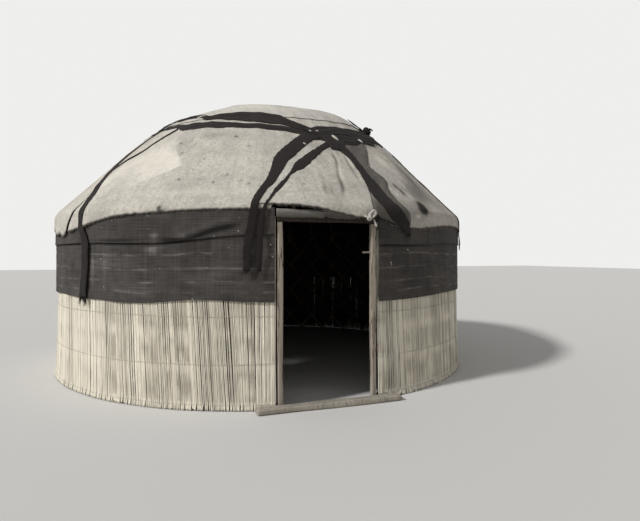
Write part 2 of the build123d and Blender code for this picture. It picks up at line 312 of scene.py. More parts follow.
def rope(path: Array, radius: Array | float, up: Array, sides: int = 10, looped: bool = False) -> Shape:
    """Round tube along a path: each ring is radius times cosine along the side way plus sine along up.

    Args:
        path: its middle points.
        radius: its radius, or one for each point.
        up: direction that its rings are turned by.
        sides: number of corners of a ring.
        looped: True joins its end to its start.

    Returns:
        The closed tube.
    """
    along = np.roll(path, -1, 0) - np.roll(path, 1, 0) if looped else np.gradient(path, axis=0)
    along /= np.linalg.norm(along, axis=1, keepdims=True)
    side = np.cross(along, np.broadcast_to(up, path.shape))
    side /= np.linalg.norm(side, axis=1, keepdims=True)
    over = np.cross(side, along)
    turn = circle(sides)
    radius = np.broadcast_to(radius, len(path))[:, None, None]
    rings = side[:, None] * np.cos(turn)[:, None] + over[:, None] * np.sin(turn)[:, None]
    return tubes((path[:, None] + radius * rings)[None], looped)


def threads(middle: Array, radius: Array, sides: int, tone: Array | None = None) -> Shape:
    """Thin upright tubes: a level ring round each middle point, with a radius for each level."""
    return tubes(middle[:, :, None] + radius[:, None, None] * disc(circle(sides)), tone=tone)


def joined(shapes: list[Shape]) -> Shape:
    """One shape made of several that stay loose from each other.

    Args:
        shapes: closed shapes.

    Returns:
        The one shape.
    """
    starts = np.cumsum([0] + [len(shape.points) for shape in shapes[:-1]])
    faces = {}
    for corners in (3, 4):
        parts = [s.faces[corners] + start for s, start in zip(shapes, starts) if corners in s.faces]
        if parts:
            faces[corners] = np.vstack(parts)
    points, cut, tone = (
        np.concatenate([getattr(s, key) for s in shapes]) for key in ("points", "cut", "tone")
    )
    return Shape(points, faces, cut, tone)


def volume(shape: Shape) -> float:
    """Signed volume: a sixth of the triple products of the corners, summed over each face's fan.

    Args:
        shape: a closed shape.

    Returns:
        Cubic metres, below 0 where the faces point inwards.
    """
    total = 0.0
    for corners, faces in shape.faces.items():
        for k in range(1, corners - 1):
            a, b, c = (shape.points[faces[:, i]] for i in (0, k, k + 1))
            total += float((a * np.cross(b, c)).sum()) / 6
    return total


def put(name: str, data: bpy.types.ID) -> bpy.types.Object:
    """New object at the origin of the scene.

    Args:
        name: the object's name.
        data: its mesh, camera or light.

    Returns:
        The new object.
    """
    made = bpy.data.objects.new(name, data)
    bpy.context.scene.collection.objects.link(made)
    return made


def lay(name: str, shape: Shape, material: Material, nodes: list[str]) -> bpy.types.Object:
    """Puts a shape into the scene as a piece that rides on the tent.

    Args:
        name: the piece's name.
        shape: its closed shape; its faces are turned outwards.
        material: its finish.
        nodes: CAD nodes that the piece stands for.

    Returns:
        The new object, at the origin.
    """
    turn = -1 if volume(shape) < 0 else 1
    faces = [shape.faces[k][:, ::turn] for k in sorted(shape.faces)]
    corners = np.concatenate([f.ravel() for f in faces]).astype(np.int32)
    totals = np.concatenate([np.full(len(f), f.shape[1]) for f in faces]).astype(np.int32)
    mesh = bpy.data.meshes.new(name)
    mesh.vertices.add(len(shape.points))
    mesh.vertices.foreach_set("co", shape.points.astype(np.float32).ravel())
    mesh.loops.add(len(corners))
    mesh.loops.foreach_set("vertex_index", corners)
    mesh.polygons.add(len(totals))
    mesh.polygons.foreach_set("loop_start", np.concatenate([[0], np.cumsum(totals)[:-1]]).astype(np.int32))
    mesh.polygons.foreach_set("loop_total", totals)
    mesh.update(calc_edges=True)
    mesh.polygons.foreach_set("use_smooth", np.ones(len(totals), bool))
    mesh.uv_layers.new(name="cut").data.foreach_set("uv", shape.cut[corners].astype(np.float32).ravel())
    mesh.attributes.new("tone", "FLOAT", "POINT").data.foreach_set("value", shape.tone.astype(np.float32))
    mesh.materials.append(material)
    piece = put(name, mesh)
    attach(piece, "root")
    if nodes:
        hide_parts(*nodes)
    log.info("%s: %d triangles", name, sum(len(f) * (f.shape[1] - 2) for f in faces))
    return piece


# Finishes


def tint(colour: Colour, scale: float = 1.0) -> tuple[float, float, float, float]:
    """Colour times a scale, with full cover."""
    return (*(min(1.0, scale * part) for part in colour), 1.0)


class Tree:
    """Adds nodes to a node tree and links them."""

    def __init__(self, tree: bpy.types.NodeTree) -> None:
        """Keeps the tree."""
        self.tree = tree

    def add(self, kind: str, inputs: dict | None = None, **settings: object) -> bpy.types.Node:
        """New node with its settings, and each input linked if given a socket, or else set.

        Args:
            kind: Blender's name of the node.
            inputs: socket or value by an input's name or number.
            settings: attributes of the node.

        Returns:
            The new node.
        """
        node = self.tree.nodes.new(kind)
        for key, value in settings.items():
            setattr(node, key, value)
        for key, value in (inputs or {}).items():
            if isinstance(value, Socket):
                self.tree.links.new(value, node.inputs[key])
            else:
                node.inputs[key].default_value = value
        return node

    def use(self, effect: bpy.types.NodeTree, **inputs: object) -> bpy.types.bpy_prop_collection:
        """Outputs of a shared effect with its inputs given."""
        return self.add("ShaderNodeGroup", inputs, node_tree=effect).outputs

    def noise(self, place: Socket, scale: float, detail: float = 3, rough: float = 0.55) -> Socket:
        """Noise value from 0 to 1 at a place."""
        inputs = {"Vector": place, "Scale": scale, "Detail": detail, "Roughness": rough}
        return self.add("ShaderNodeTexNoise", inputs).outputs[0]

    def stretch(self, place: Socket, scale: Colour) -> Socket:
        """Place scaled along each axis."""
        return self.add("ShaderNodeMapping", {"Vector": place, "Scale": scale}).outputs[0]

    def between(self, value: Socket, low: float = 0.0, high: float = 1.0) -> Socket:
        """Smooth step of a value from a low to a high limit."""
        inputs = {"Value": value, "From Min": low, "From Max": high}
        return self.add("ShaderNodeMapRange", inputs, interpolation_type="SMOOTHSTEP").outputs[0]

    def sums(self, operation: str, *values: object) -> Socket:
        """Math node over the values, which are sockets or numbers."""
        return self.add("ShaderNodeMath", dict(enumerate(values)), operation=operation).outputs[0]

    def times(self, value: Socket, factor: object) -> Socket:
        """Product of two values."""
        return self.sums("MULTIPLY", value, factor)

    def weigh(self, first: Socket, share: float, second: Socket, other: float) -> Socket:
        """Sum of two values, each times its share."""
        return self.sums("ADD", self.times(first, share), self.times(second, other))

    def apart(self, value: Socket, middle: float) -> Socket:
        """How far a value is from a middle one."""
        return self.sums("ABSOLUTE", self.sums("SUBTRACT", value, middle))

    def opposite(self, share: Socket) -> Socket:
        """One minus a share."""
        return self.sums("SUBTRACT", 1.0, share)

    def vectors(self, operation: str, first: Socket, second: object, output: str = "Vector") -> Socket:
        """Vector math node over two vectors."""
        return self.add("ShaderNodeVectorMath", {0: first, 1: second}, operation=operation).outputs[output]

    def blend(self, share: object, first: object, second: object) -> Socket:
        """Mix of two colours by a share."""
        colours = {0: share, 6: first, 7: second}
        return self.add("ShaderNodeMix", colours, data_type="RGBA").outputs[2]

    def cover(self, colour: object, *layers: tuple[Socket, object, tuple]) -> Socket:
        """Colour under layers, each a mask, its strength and its colour.

        Args:
            colour: the lowest colour.
            layers: the layers from the lowest up.

        Returns:
            The covered colour.
        """
        for mask, strength, paint in layers:
            colour = self.blend(self.times(mask, strength), colour, paint)
        return colour

    def split(self, place: Socket, axis: int) -> Socket:
        """One coordinate of a place."""
        return self.add("ShaderNodeSeparateXYZ", {0: place}).outputs[axis]


VECTOR, VALUE = "NodeSocketVector", "NodeSocketFloat"


class Group(Tree):
    """New shader node group that gives values out."""

    def __init__(self, name: str, **kinds: str) -> None:
        """Makes the group with an input of each kind.

        Args:
            name: the group's name.
            kinds: socket type by the name of each input.
        """
        super().__init__(bpy.data.node_groups.new(name, "ShaderNodeTree"))
        for key, kind in kinds.items():
            self.tree.interface.new_socket(key, in_out="INPUT", socket_type=kind)
        self.given = self.add("NodeGroupInput").outputs

    def give(self, **values: Socket) -> bpy.types.NodeTree:
        """Makes an output of each value and returns the group's node tree.

        Args:
            values: value by the name of each output.

        Returns:
            The group's node tree.
        """
        for key in values:
            self.tree.interface.new_socket(key, in_out="OUTPUT", socket_type=VALUE)
        self.add("NodeGroupOutput", values)
        return self.tree


class Effects:
    """Node groups that several finishes share."""

    def __init__(self) -> None:
        """Builds every group once."""
        self.fibre = self.matted_fibre()
        self.weave = self.plain_weave()
        self.grain = self.long_grain()
        self.dust = self.ground_dust()

    @staticmethod
    def matted_fibre() -> bpy.types.NodeTree:
        """Matted wool: broad mottle, short crossing fibres and small clumps.

        Returns:
            The group's node tree.
        """
        tree = Group("matted_fibre", Place=VECTOR)
        place = tree.given["Place"]
        broad, patch = tree.noise(place, 2.3, 5, 0.6), tree.noise(place, 9.0, 4, 0.65)
        across = tree.noise(tree.stretch(place, (1, 0.25, 1)), 170, 3, 0.7)
        down = tree.noise(tree.stretch(place, (0.3, 1, 0.4)), 230, 3, 0.7)
        return tree.give(
            Mottle=tree.between(tree.weigh(broad, 0.6, patch, 0.4), 0.36, 0.66),
            Fibre=tree.times(tree.sums("ADD", across, down), 0.5),
            Clump=tree.between(tree.noise(place, 38.0, 4, 0.7), 0.36, 0.68)
        )

    @staticmethod
    def plain_weave() -> bpy.types.NodeTree:
        """Plain weave on the cut: the product of a sine across and a sine along, with uneven threads.

        Returns:
            The group's node tree.
        """
        tree = Group("plain_weave", Cut=VECTOR, Threads=VALUE)
        cut, threads_in = tree.given["Cut"], tree.given["Threads"]
        place = tree.add("ShaderNodeVectorMath", {0: cut, "Scale": threads_in}, operation="SCALE").outputs[0]
        across, along = (tree.sums("SINE", tree.split(place, axis)) for axis in (0, 1))
        weft = tree.noise(tree.stretch(cut, (3, 110, 1)), 1.0, 4, 0.7)
        warp = tree.noise(tree.stretch(cut, (70, 2, 1)), 1.0, 3, 0.6)
        slub = tree.weigh(weft, 0.65, warp, 0.35)
        height = tree.sums("ADD", tree.times(tree.times(across, along), 0.25), slub)
        return tree.give(Height=height, Slub=tree.between(slub, 0.38, 0.64))

    @staticmethod
    def long_grain() -> bpy.types.NodeTree:
        """Wood grain drawn out along the piece: streaks, cracks and broad weathered patches.

        Returns:
            The group's node tree.
        """
        tree = Group("long_grain", Place=VECTOR)
        place = tree.given["Place"]
        return tree.give(
            Streak=tree.between(tree.noise(place, 60, 6, 0.65), 0.3, 0.7),
            Crack=tree.between(tree.apart(tree.noise(place, 26, 3, 0.5), 0.5), 0.0, 0.035),
            Patch=tree.between(tree.noise(place, 5, 4, 0.6), 0.35, 0.65)
        )

    @staticmethod
    def ground_dust() -> bpy.types.NodeTree:
        """Dust that fades upwards from the ground with an uneven edge.

        Returns:
            The group's node tree.
        """
        tree = Group("ground_dust", Place=VECTOR, Reach=VALUE)
        place = tree.given["Place"]
        height = tree.sums("DIVIDE", tree.split(place, 2), tree.given["Reach"])
        uneven = tree.sums("ADD", height, tree.times(tree.noise(place, 7, 4), 0.9))
        return tree.give(Mask=tree.opposite(tree.between(uneven, 0.35, 1.35)))


@dataclass(frozen=True)
class Finish:
    """Base of the finishes: makes the material and holds what all of them set.

    Attributes:
        name: the material's name.
        rough: its roughness.
        depth: depth of its relief in metres.
        smoked: True blackens the faces turned towards the room, as hearth blackening and as painted shade.
    """

    name: str
    rough: float
    depth: float = 0.002
    smoked: bool = False
    shine: float = 0.25
    relief: float = 0.9
    hearth_black_and_shade: Colour = (0.032, 0.027, 0.023)
    room: tuple[float, float, float] = (0.0, 0.0, 0.65)

    def paint(self, tree: Tree, place: Places, effects: Effects) -> tuple[Socket, Socket]:
        """Colour and height of the finish, from the places that its patterns read."""
        raise NotImplementedError

    def blacken_by_hearth_and_shade(self, tree: Tree, colour: Socket, place: Socket) -> Socket:
        """Colour blackened on faces turned inwards, as hearth blackening and painted shade, by the normal's
        share away from the room's middle.

        Args:
            tree: the material's node tree.
            colour: the clean colour.
            place: place in the tent's own frame.

        Returns:
            The blackened colour.
        """
        normal = tree.add("ShaderNodeNewGeometry").outputs["Normal"]
        away = tree.vectors("SUBTRACT", place, self.room)
        turned = tree.vectors("DOT_PRODUCT", normal, away, "Value")
        return tree.blend(tree.between(turned, -0.4, 0.4), tint(self.hearth_black_and_shade), colour)

    def make(self, effects: Effects) -> Material:
        """Builds the material: one principled shader with the finish's colour and height.

        Args:
            effects: the shared node groups.

        Returns:
            The material.
        """
        material = bpy.data.materials.new(self.name)
        material.use_nodes = True
        tree = Tree(material.node_tree)
        shader = material.node_tree.nodes["Principled BSDF"]
        shader.inputs["Roughness"].default_value = self.rough
        shader.inputs["Specular IOR Level"].default_value = self.shine
        coordinates = tree.add("ShaderNodeTexCoord").outputs
        tone = tree.add("ShaderNodeAttribute", attribute_name="tone").outputs["Fac"]
        place = {"object": coordinates["Object"], "cut": coordinates["UV"], "tone": tone}
        colour, height = self.paint(tree, place, effects)
        # Faces turned towards the room get hearth blackening and painted shade.
        if self.smoked:
            colour = self.blacken_by_hearth_and_shade(tree, colour, place["object"])
        bump = tree.add("ShaderNodeBump", {"Height": height, "Distance": self.depth, "Strength": self.relief})
        tree.tree.links.new(colour, shader.inputs["Base Color"])
        tree.tree.links.new(bump.outputs[0], shader.inputs["Normal"])
        return material


@dataclass(frozen=True)
class FeltFinish(Finish):
    """Weathered felt: pale wool, greyer blotches, brown specks and the marks that the tone carries."""

    depth: float = 0.004
    pale: Colour = (0.70, 0.655, 0.575)
    grey: Colour = (0.385, 0.36, 0.315)
    stain: Colour = (0.12, 0.10, 0.085)
    # Colour where the tone is below 0: dark stains, and painted shade at hems, creases, rims and on the right
    # felt.
    shade: Colour = (0.075, 0.066, 0.058)
    hole: Colour = (0.010, 0.009, 0.008)
    mottle: float = 0.55
    fine: float = 0.34
    clumps: float = 0.42
    speck: float = 0.5

    def paint(self, tree: Tree, place: Places, effects: Effects) -> tuple[Socket, Socket]:
        """Mottle, fine fibres, clumps, streaks and specks, then the tone's pale patches, stains, painted
        shade and holes.

        Args:
            tree: the material's node tree.
            place: the places that its patterns read.
            effects: the shared node groups.

        Returns:
            Its colour and its height.
        """
        fibre = tree.use(effects.fibre, Place=place["object"])
        matted = tint(self.grey, 0.62)
        streaks = tree.noise(tree.stretch(place["cut"], (24, 3.2, 1)), 1.0, 4, 0.7)
        specks = tree.noise(place["object"], 21, 2, 0.4)
        dark = tree.times(place["tone"], -1.0)
        colour = tree.cover(
            tint(self.pale), (fibre["Mottle"], self.mottle, tint(self.grey)),
            (tree.between(fibre["Fibre"], 0.42, 0.60), self.fine, tint(self.grey, 0.55)),
            (fibre["Clump"], self.clumps, matted), (tree.between(streaks, 0.50, 0.74), self.clumps, matted),
            (tree.between(specks, 0.71, 0.77), self.speck, tint(self.stain)),
            (tree.between(place["tone"]), 1.0, tint(self.pale, 1.28)),
            # Below 0 the tone gives stains and painted shade, below -1 holes.
            (tree.between(dark), 1.0, tint(self.shade)), (tree.between(dark, 1.0, 1.8), 1.0, tint(self.hole))
        )
        return colour, tree.weigh(fibre["Fibre"], 1.0, fibre["Mottle"], 0.5)


@dataclass(frozen=True)
class WoolFinish(Finish):
    """Dark woven wool cloth: uneven threads, sewn seams at given heights and pale worn blotches."""

    depth: float = 0.003
    dark: Colour = (0.030, 0.026, 0.024)
    worn: Colour = (0.105, 0.094, 0.086)
    thread: Colour = (0.165, 0.151, 0.138)
    lint: Colour = (0.42, 0.40, 0.37)
    # Colour where the tone is above 0: pale worn blotches, and painted highlights on the folds.
    worn_and_highlight: Colour = (0.25, 0.232, 0.214)
    shadow: Colour = (0.010, 0.009, 0.008)
    seams: tuple[float, ...] = (1.250, 1.133, 1.022, 0.940)
    wander: float = 0.09

    def paint(self, tree: Tree, place: Places, effects: Effects) -> tuple[Socket, Socket]:
        """Worn threads, broken seam lines at wandering heights, lint, and the tone: worn blotches and
        painted highlights above 0, painted shade below 0.

        Args:
            tree: the material's node tree.
            place: the places that its patterns read.
            effects: the shared node groups.

        Returns:
            Its colour and its height.
        """
        weave = tree.use(effects.weave, Cut=place["cut"], Threads=900.0)
        fibre = tree.use(effects.fibre, Place=place["object"])
        share = tree.weigh(weave["Slub"], 0.45, fibre["Mottle"], 0.4)
        wobble = tree.times(tree.noise(place["object"], 1.1, 2), self.wander)
        wobble = tree.sums("SUBTRACT", wobble, self.wander / 2)
        height = tree.sums("ADD", tree.split(place["object"], 2), wobble)
        dashes = tree.noise(tree.stretch(place["cut"], (1.7, 5, 1)), 2.0, 5, 0.75)
        dashes = tree.between(dashes, 0.44, 0.68)
        lines = [tree.opposite(tree.between(tree.apart(height, seam), 0.001, 0.016)) for seam in self.seams]
        lint = tree.between(tree.noise(place["object"], 33, 1, 0.4), 0.775, 0.80)
        thready = tree.sums("ADD", tree.times(weave["Slub"], 0.8), 0.25)
        colour = tree.cover(
            tree.blend(share, tint(self.dark), tint(self.worn)),
            *((line, dashes, tint(self.thread)) for line in lines), (lint, 1.0, tint(self.lint)),
            # Worn blotches and painted highlights, then painted shade.
            (tree.between(place["tone"]), thready, tint(self.worn_and_highlight)),
            (tree.between(tree.times(place["tone"], -1.0)), 1.0, tint(self.shadow))
        )
        return colour, weave["Height"]


@dataclass(frozen=True)
class StrapFinish(Finish):
    """Dark woven strap: warp stripes along the cut and worn, paler edges by the tone."""

    dark: Colour = (0.010, 0.008, 0.0075)
    stripe: Colour = (0.026, 0.020, 0.018)
    worn: Colour = (0.20, 0.18, 0.155)

    def paint(self, tree: Tree, place: Places, effects: Effects) -> tuple[Socket, Socket]:
        """Stripes by a sine across the strap, uneven threads and worn edges.

        Args:
            tree: the material's node tree.
            place: the places that its patterns read.
            effects: the shared node groups.

        Returns:
            Its colour and its height.
        """
        weave = tree.use(effects.weave, Cut=place["cut"], Threads=1400.0)
        stripes = tree.sums("SINE", tree.times(tree.split(place["cut"], 0), 420.0))
        colour = tree.cover(
            tint(self.dark), (tree.between(stripes, 0.2, 0.7), 0.6, tint(self.stripe)),
            (weave["Slub"], 0.35, tint(self.stripe)), (tree.between(place["tone"]), 1.0, tint(self.worn))
        )
        return colour, weave["Height"]


@dataclass(frozen=True)
class ReedFinish(Finish):
    """Dry reeds: each stem has its tone, with streaks, grey weathered stretches and a dusty foot."""

    # Faces turned towards the room get hearth blackening and painted shade.
    smoked: bool = True
    straw: Colour = (0.95, 0.89, 0.745)
    grey: Colour = (0.46, 0.415, 0.335)
    dust: Colour = (0.52, 0.48, 0.42)

    def paint(self, tree: Tree, place: Places, effects: Effects) -> tuple[Socket, Socket]:
        """From grey to straw by the tone, under patches, streaks and dust.

        Args:
            tree: the material's node tree.
            place: the places that its patterns read.
            effects: the shared node groups.

        Returns:
            Its colour and its height.
        """
        grain = tree.use(effects.grain, Place=tree.stretch(place["object"], (1, 1, 0.06)))
        dust = tree.use(effects.dust, Place=place["object"], Reach=0.55)
        colour = tree.cover(
            tree.blend(tree.between(place["tone"]), tint(self.grey), tint(self.straw)),
            (grain["Patch"], 0.30, tint(self.grey)), (grain["Streak"], 0.22, tint(self.grey, 0.6)),
            (dust["Mask"], 0.08, tint(self.dust))
        )
        return colour, grain["Streak"]


@dataclass(frozen=True)
class TimberFinish(Finish):
    """Bare or smoked wood: long grain, cracks, grey weathering and dust near the ground."""

    light: Colour = (0.40, 0.35, 0.28)
    dark: Colour = (0.16, 0.13, 0.10)
    dust: Colour = (0.40, 0.37, 0.32)
    drawn: tuple[float, float, float] = (1, 1, 0.07)

    def paint(self, tree: Tree, place: Places, effects: Effects) -> tuple[Socket, Socket]:
        """Streaks and patches, dark cracks, and dust over all.

        Args:
            tree: the material's node tree.
            place: the places that its patterns read.
            effects: the shared node groups.

        Returns:
            Its colour and its height.
        """
        grain = tree.use(effects.grain, Place=tree.stretch(place["object"], self.drawn))
        dust = tree.use(effects.dust, Place=place["object"], Reach=0.35)
        streaked = tuple(0.6 * a + 0.4 * b for a, b in zip(self.light, self.dark))
        colour = tree.blend(grain["Streak"], tint(self.light), tint(streaked))
        colour = tree.cover(colour, (grain["Patch"], 0.5, tint(self.dark)))
        colour = tree.blend(grain["Crack"], tint(self.dark, 0.5), colour)
        colour = tree.cover(colour, (dust["Mask"], 0.5, tint(self.dust)))
        return colour, tree.weigh(grain["Crack"], 1.0, grain["Streak"], 0.5)


# The tent


@dataclass
class RoofForm:
    """The smooth surface that every roof layer lies on, outside the poles and the crown.

    Its profile is a round dome, a straight slope at 45 degrees, a round bend at the eave and the upright
    edge. It is kept as radius, height and outward normal by distance.
    """

    dome_radius: float = 2.360
    dome_centre: float = 0.6485
    eave_radius: float = 2.352
    bend: float = 0.11
    cover_rim: float = 1.30
    cover_step: float = 0.0088
    crown_radius: float = 0.70
    sag: float = 0.006
    swelling: tuple[float, float, float] = (30.0, 1.08, 2.74)
    swell_height: float = 0.055
    swell_width: float = 0.33
    tight: float = 0.85
    tight_at: tuple[float, float] = (-40.0, 1.4)
    broad: Ripple = Ripple(0.006, 1.25, 3)
    middling: Ripple = Ripple(0.0034, 0.38, 5)
    small: Ripple = Ripple(0.0014, 0.10, 8)
    step: float = 0.004
    poles: list[float] = field(default_factory=list)

    def __post_init__(self) -> None:
        """Works out the profile with its run and its outward normal."""
        theta = np.arange(0, np.pi / 4, self.step / self.dome_radius)
        dome_r = self.dome_radius * np.sin(theta)
        dome_z = self.dome_centre + self.dome_radius * np.cos(theta)
        corner = dome_z[-1] - (self.eave_radius - dome_r[-1])
        tangent = self.bend * np.tan(np.pi / 8)
        slope_end = self.eave_radius - tangent * np.sqrt(0.5)
        slope_r = np.arange(dome_r[-1] + self.step, slope_end, self.step)
        slope_z = dome_z[-1] - (slope_r - dome_r[-1])
        turn = np.linspace(np.pi / 4, 0, 30)
        bend_r = self.eave_radius - self.bend * (1 - np.cos(turn))
        bend_z = corner - tangent + self.bend * np.sin(turn)
        drop_z = np.arange(bend_z[-1] - self.step, 0.6, -self.step)
        r = np.concatenate([dome_r, slope_r, bend_r, np.full(len(drop_z), self.eave_radius)])
        z = np.concatenate([dome_z, slope_z, bend_z, drop_z])
        self.run = np.concatenate([[0], np.hypot(np.diff(r), np.diff(z)).cumsum()])
        self.radius, self.height = r, z
        slope = np.gradient(np.stack([r, z]), self.run, axis=1)
        self.out_r, self.out_z = -slope[1], slope[0]
        self.brow = len(dome_r) + len(slope_r) + len(bend_r) - 1

    def at_radius(self, radius: Array | float) -> Array:
        """Distance from the crown to a plan radius; what exceeds the eave counts down the hanging edge."""
        over = np.maximum(np.asarray(radius, float) - self.eave_radius, 0)
        return np.interp(radius, self.radius[: self.brow], self.run[: self.brow]) + over

    def at_height(self, height: Array | float) -> Array:
        """Distance from the crown to where the hanging edge has a height."""
        return self.run[self.brow] + self.height[self.brow] - np.asarray(height, float)

    def relief(self, azimuth: Array, base: Array, radius: Array) -> Array:
        """Unevenness of the felts.

        It is broad and small ripples, less of them on the tight left shoulder, a sag of a squared sine
        between the poles, and a swelling over the crown's right side.

        Args:
            azimuth: azimuths in degrees.
            base: points of the smooth surface.
            radius: plan radii.

        Returns:
            How far out the felts lie.
        """
        poles = np.asarray(self.poles)
        share = np.interp(np.mod(azimuth - poles[0], 360), poles - poles[0], np.arange(len(poles)))
        sag = self.sag * np.sin(np.pi * share) ** 2 * ease((radius - self.crown_radius - 0.05) / 0.8)
        ring = self.sag * bell(radius - self.crown_radius, 0.05)
        away = np.linalg.norm(base - spot(*np.array(self.swelling)), axis=-1)
        uneven = np.maximum(0.003 + self.broad.at(base) + self.middling.at(base), -0.001)
        uneven = uneven + self.small.at(base)
        tight = self.tight * bell(radius - self.tight_at[1], 0.35) * bell(
            turned(azimuth, self.tight_at[0]), 45
        )
        return (1 - tight) * uneven - sag + ring + self.swell_height * bell(away, self.swell_width)

    def point(self, azimuth: Array, run: Array, lift: Array | float = 0.0) -> Array:
        """Points of the roof surface at azimuths and distances, lifted along its normal.

        Args:
            azimuth: azimuths in degrees.
            run: distances from the crown.
            lift: heights above the surface.

        Returns:
            Points with x, y and z on the last axis.
        """
        azimuth, run = np.broadcast_arrays(np.asarray(azimuth, float), np.asarray(run, float))
        radius, height = np.interp(run, self.run, self.radius), np.interp(run, self.run, self.height)
        out = lift + self.relief(azimuth, spot(azimuth, radius, height), radius)
        over_r, over_z = np.interp(run, self.run, self.out_r), np.interp(run, self.run, self.out_z)
        return spot(azimuth, radius + over_r * out, height + over_z * out)

    def marks(self, azimuth: Array, run: Array, spots: Sequence[Spot]) -> Array:
        """Tone of soft round marks: each spot's amount times a bell of its distance over its size.

        Args:
            azimuth: azimuths in degrees.
            run: distances from the crown.
            spots: marks as azimuth, plan radius, width, length and amount.

        Returns:
            The tone at each place.
        """
        tone = np.zeros(np.broadcast(azimuth, run).shape)
        for at, radius, wide, long, amount in spots:
            across = np.radians(azimuth - at) * radius / wide
            along = (run - self.at_radius(radius)) / long
            tone += amount * np.exp(-(across**2) - along**2)
        return tone

    def lap(self, azimuth: Array, run: Array, angle: Edges) -> Array:
        """Share from 0 to 1 inside an angle of two straight sides, fading away from them and the corner.

        Args:
            azimuth: azimuths in degrees.
            run: distances from the crown.
            angle: three (azimuth, plan radius) points, with the corner in the middle.

        Returns:
            The share at each place.
        """
        mean = float(np.mean([radius for _, radius in angle]))
        points = [(np.radians(a) * mean, float(self.at_radius(r))) for a, r in angle]
        x, y = np.radians(azimuth) * mean, run
        inside = np.full(np.broadcast(x, y).shape, 9.0)
        for (x0, y0), (x1, y1) in zip(points, points[1:]):
            long = np.hypot(x1 - x0, y1 - y0)
            inside = np.minimum(inside, ((y1 - y0) * (x - x0) - (x1 - x0) * (y - y0)) / long)
        far = np.hypot(x - points[1][0], y - points[1][1])
        return ease(inside / 0.014 + 0.5) * bell(np.maximum(inside, 0), 0.26) * bell(far, 0.55)


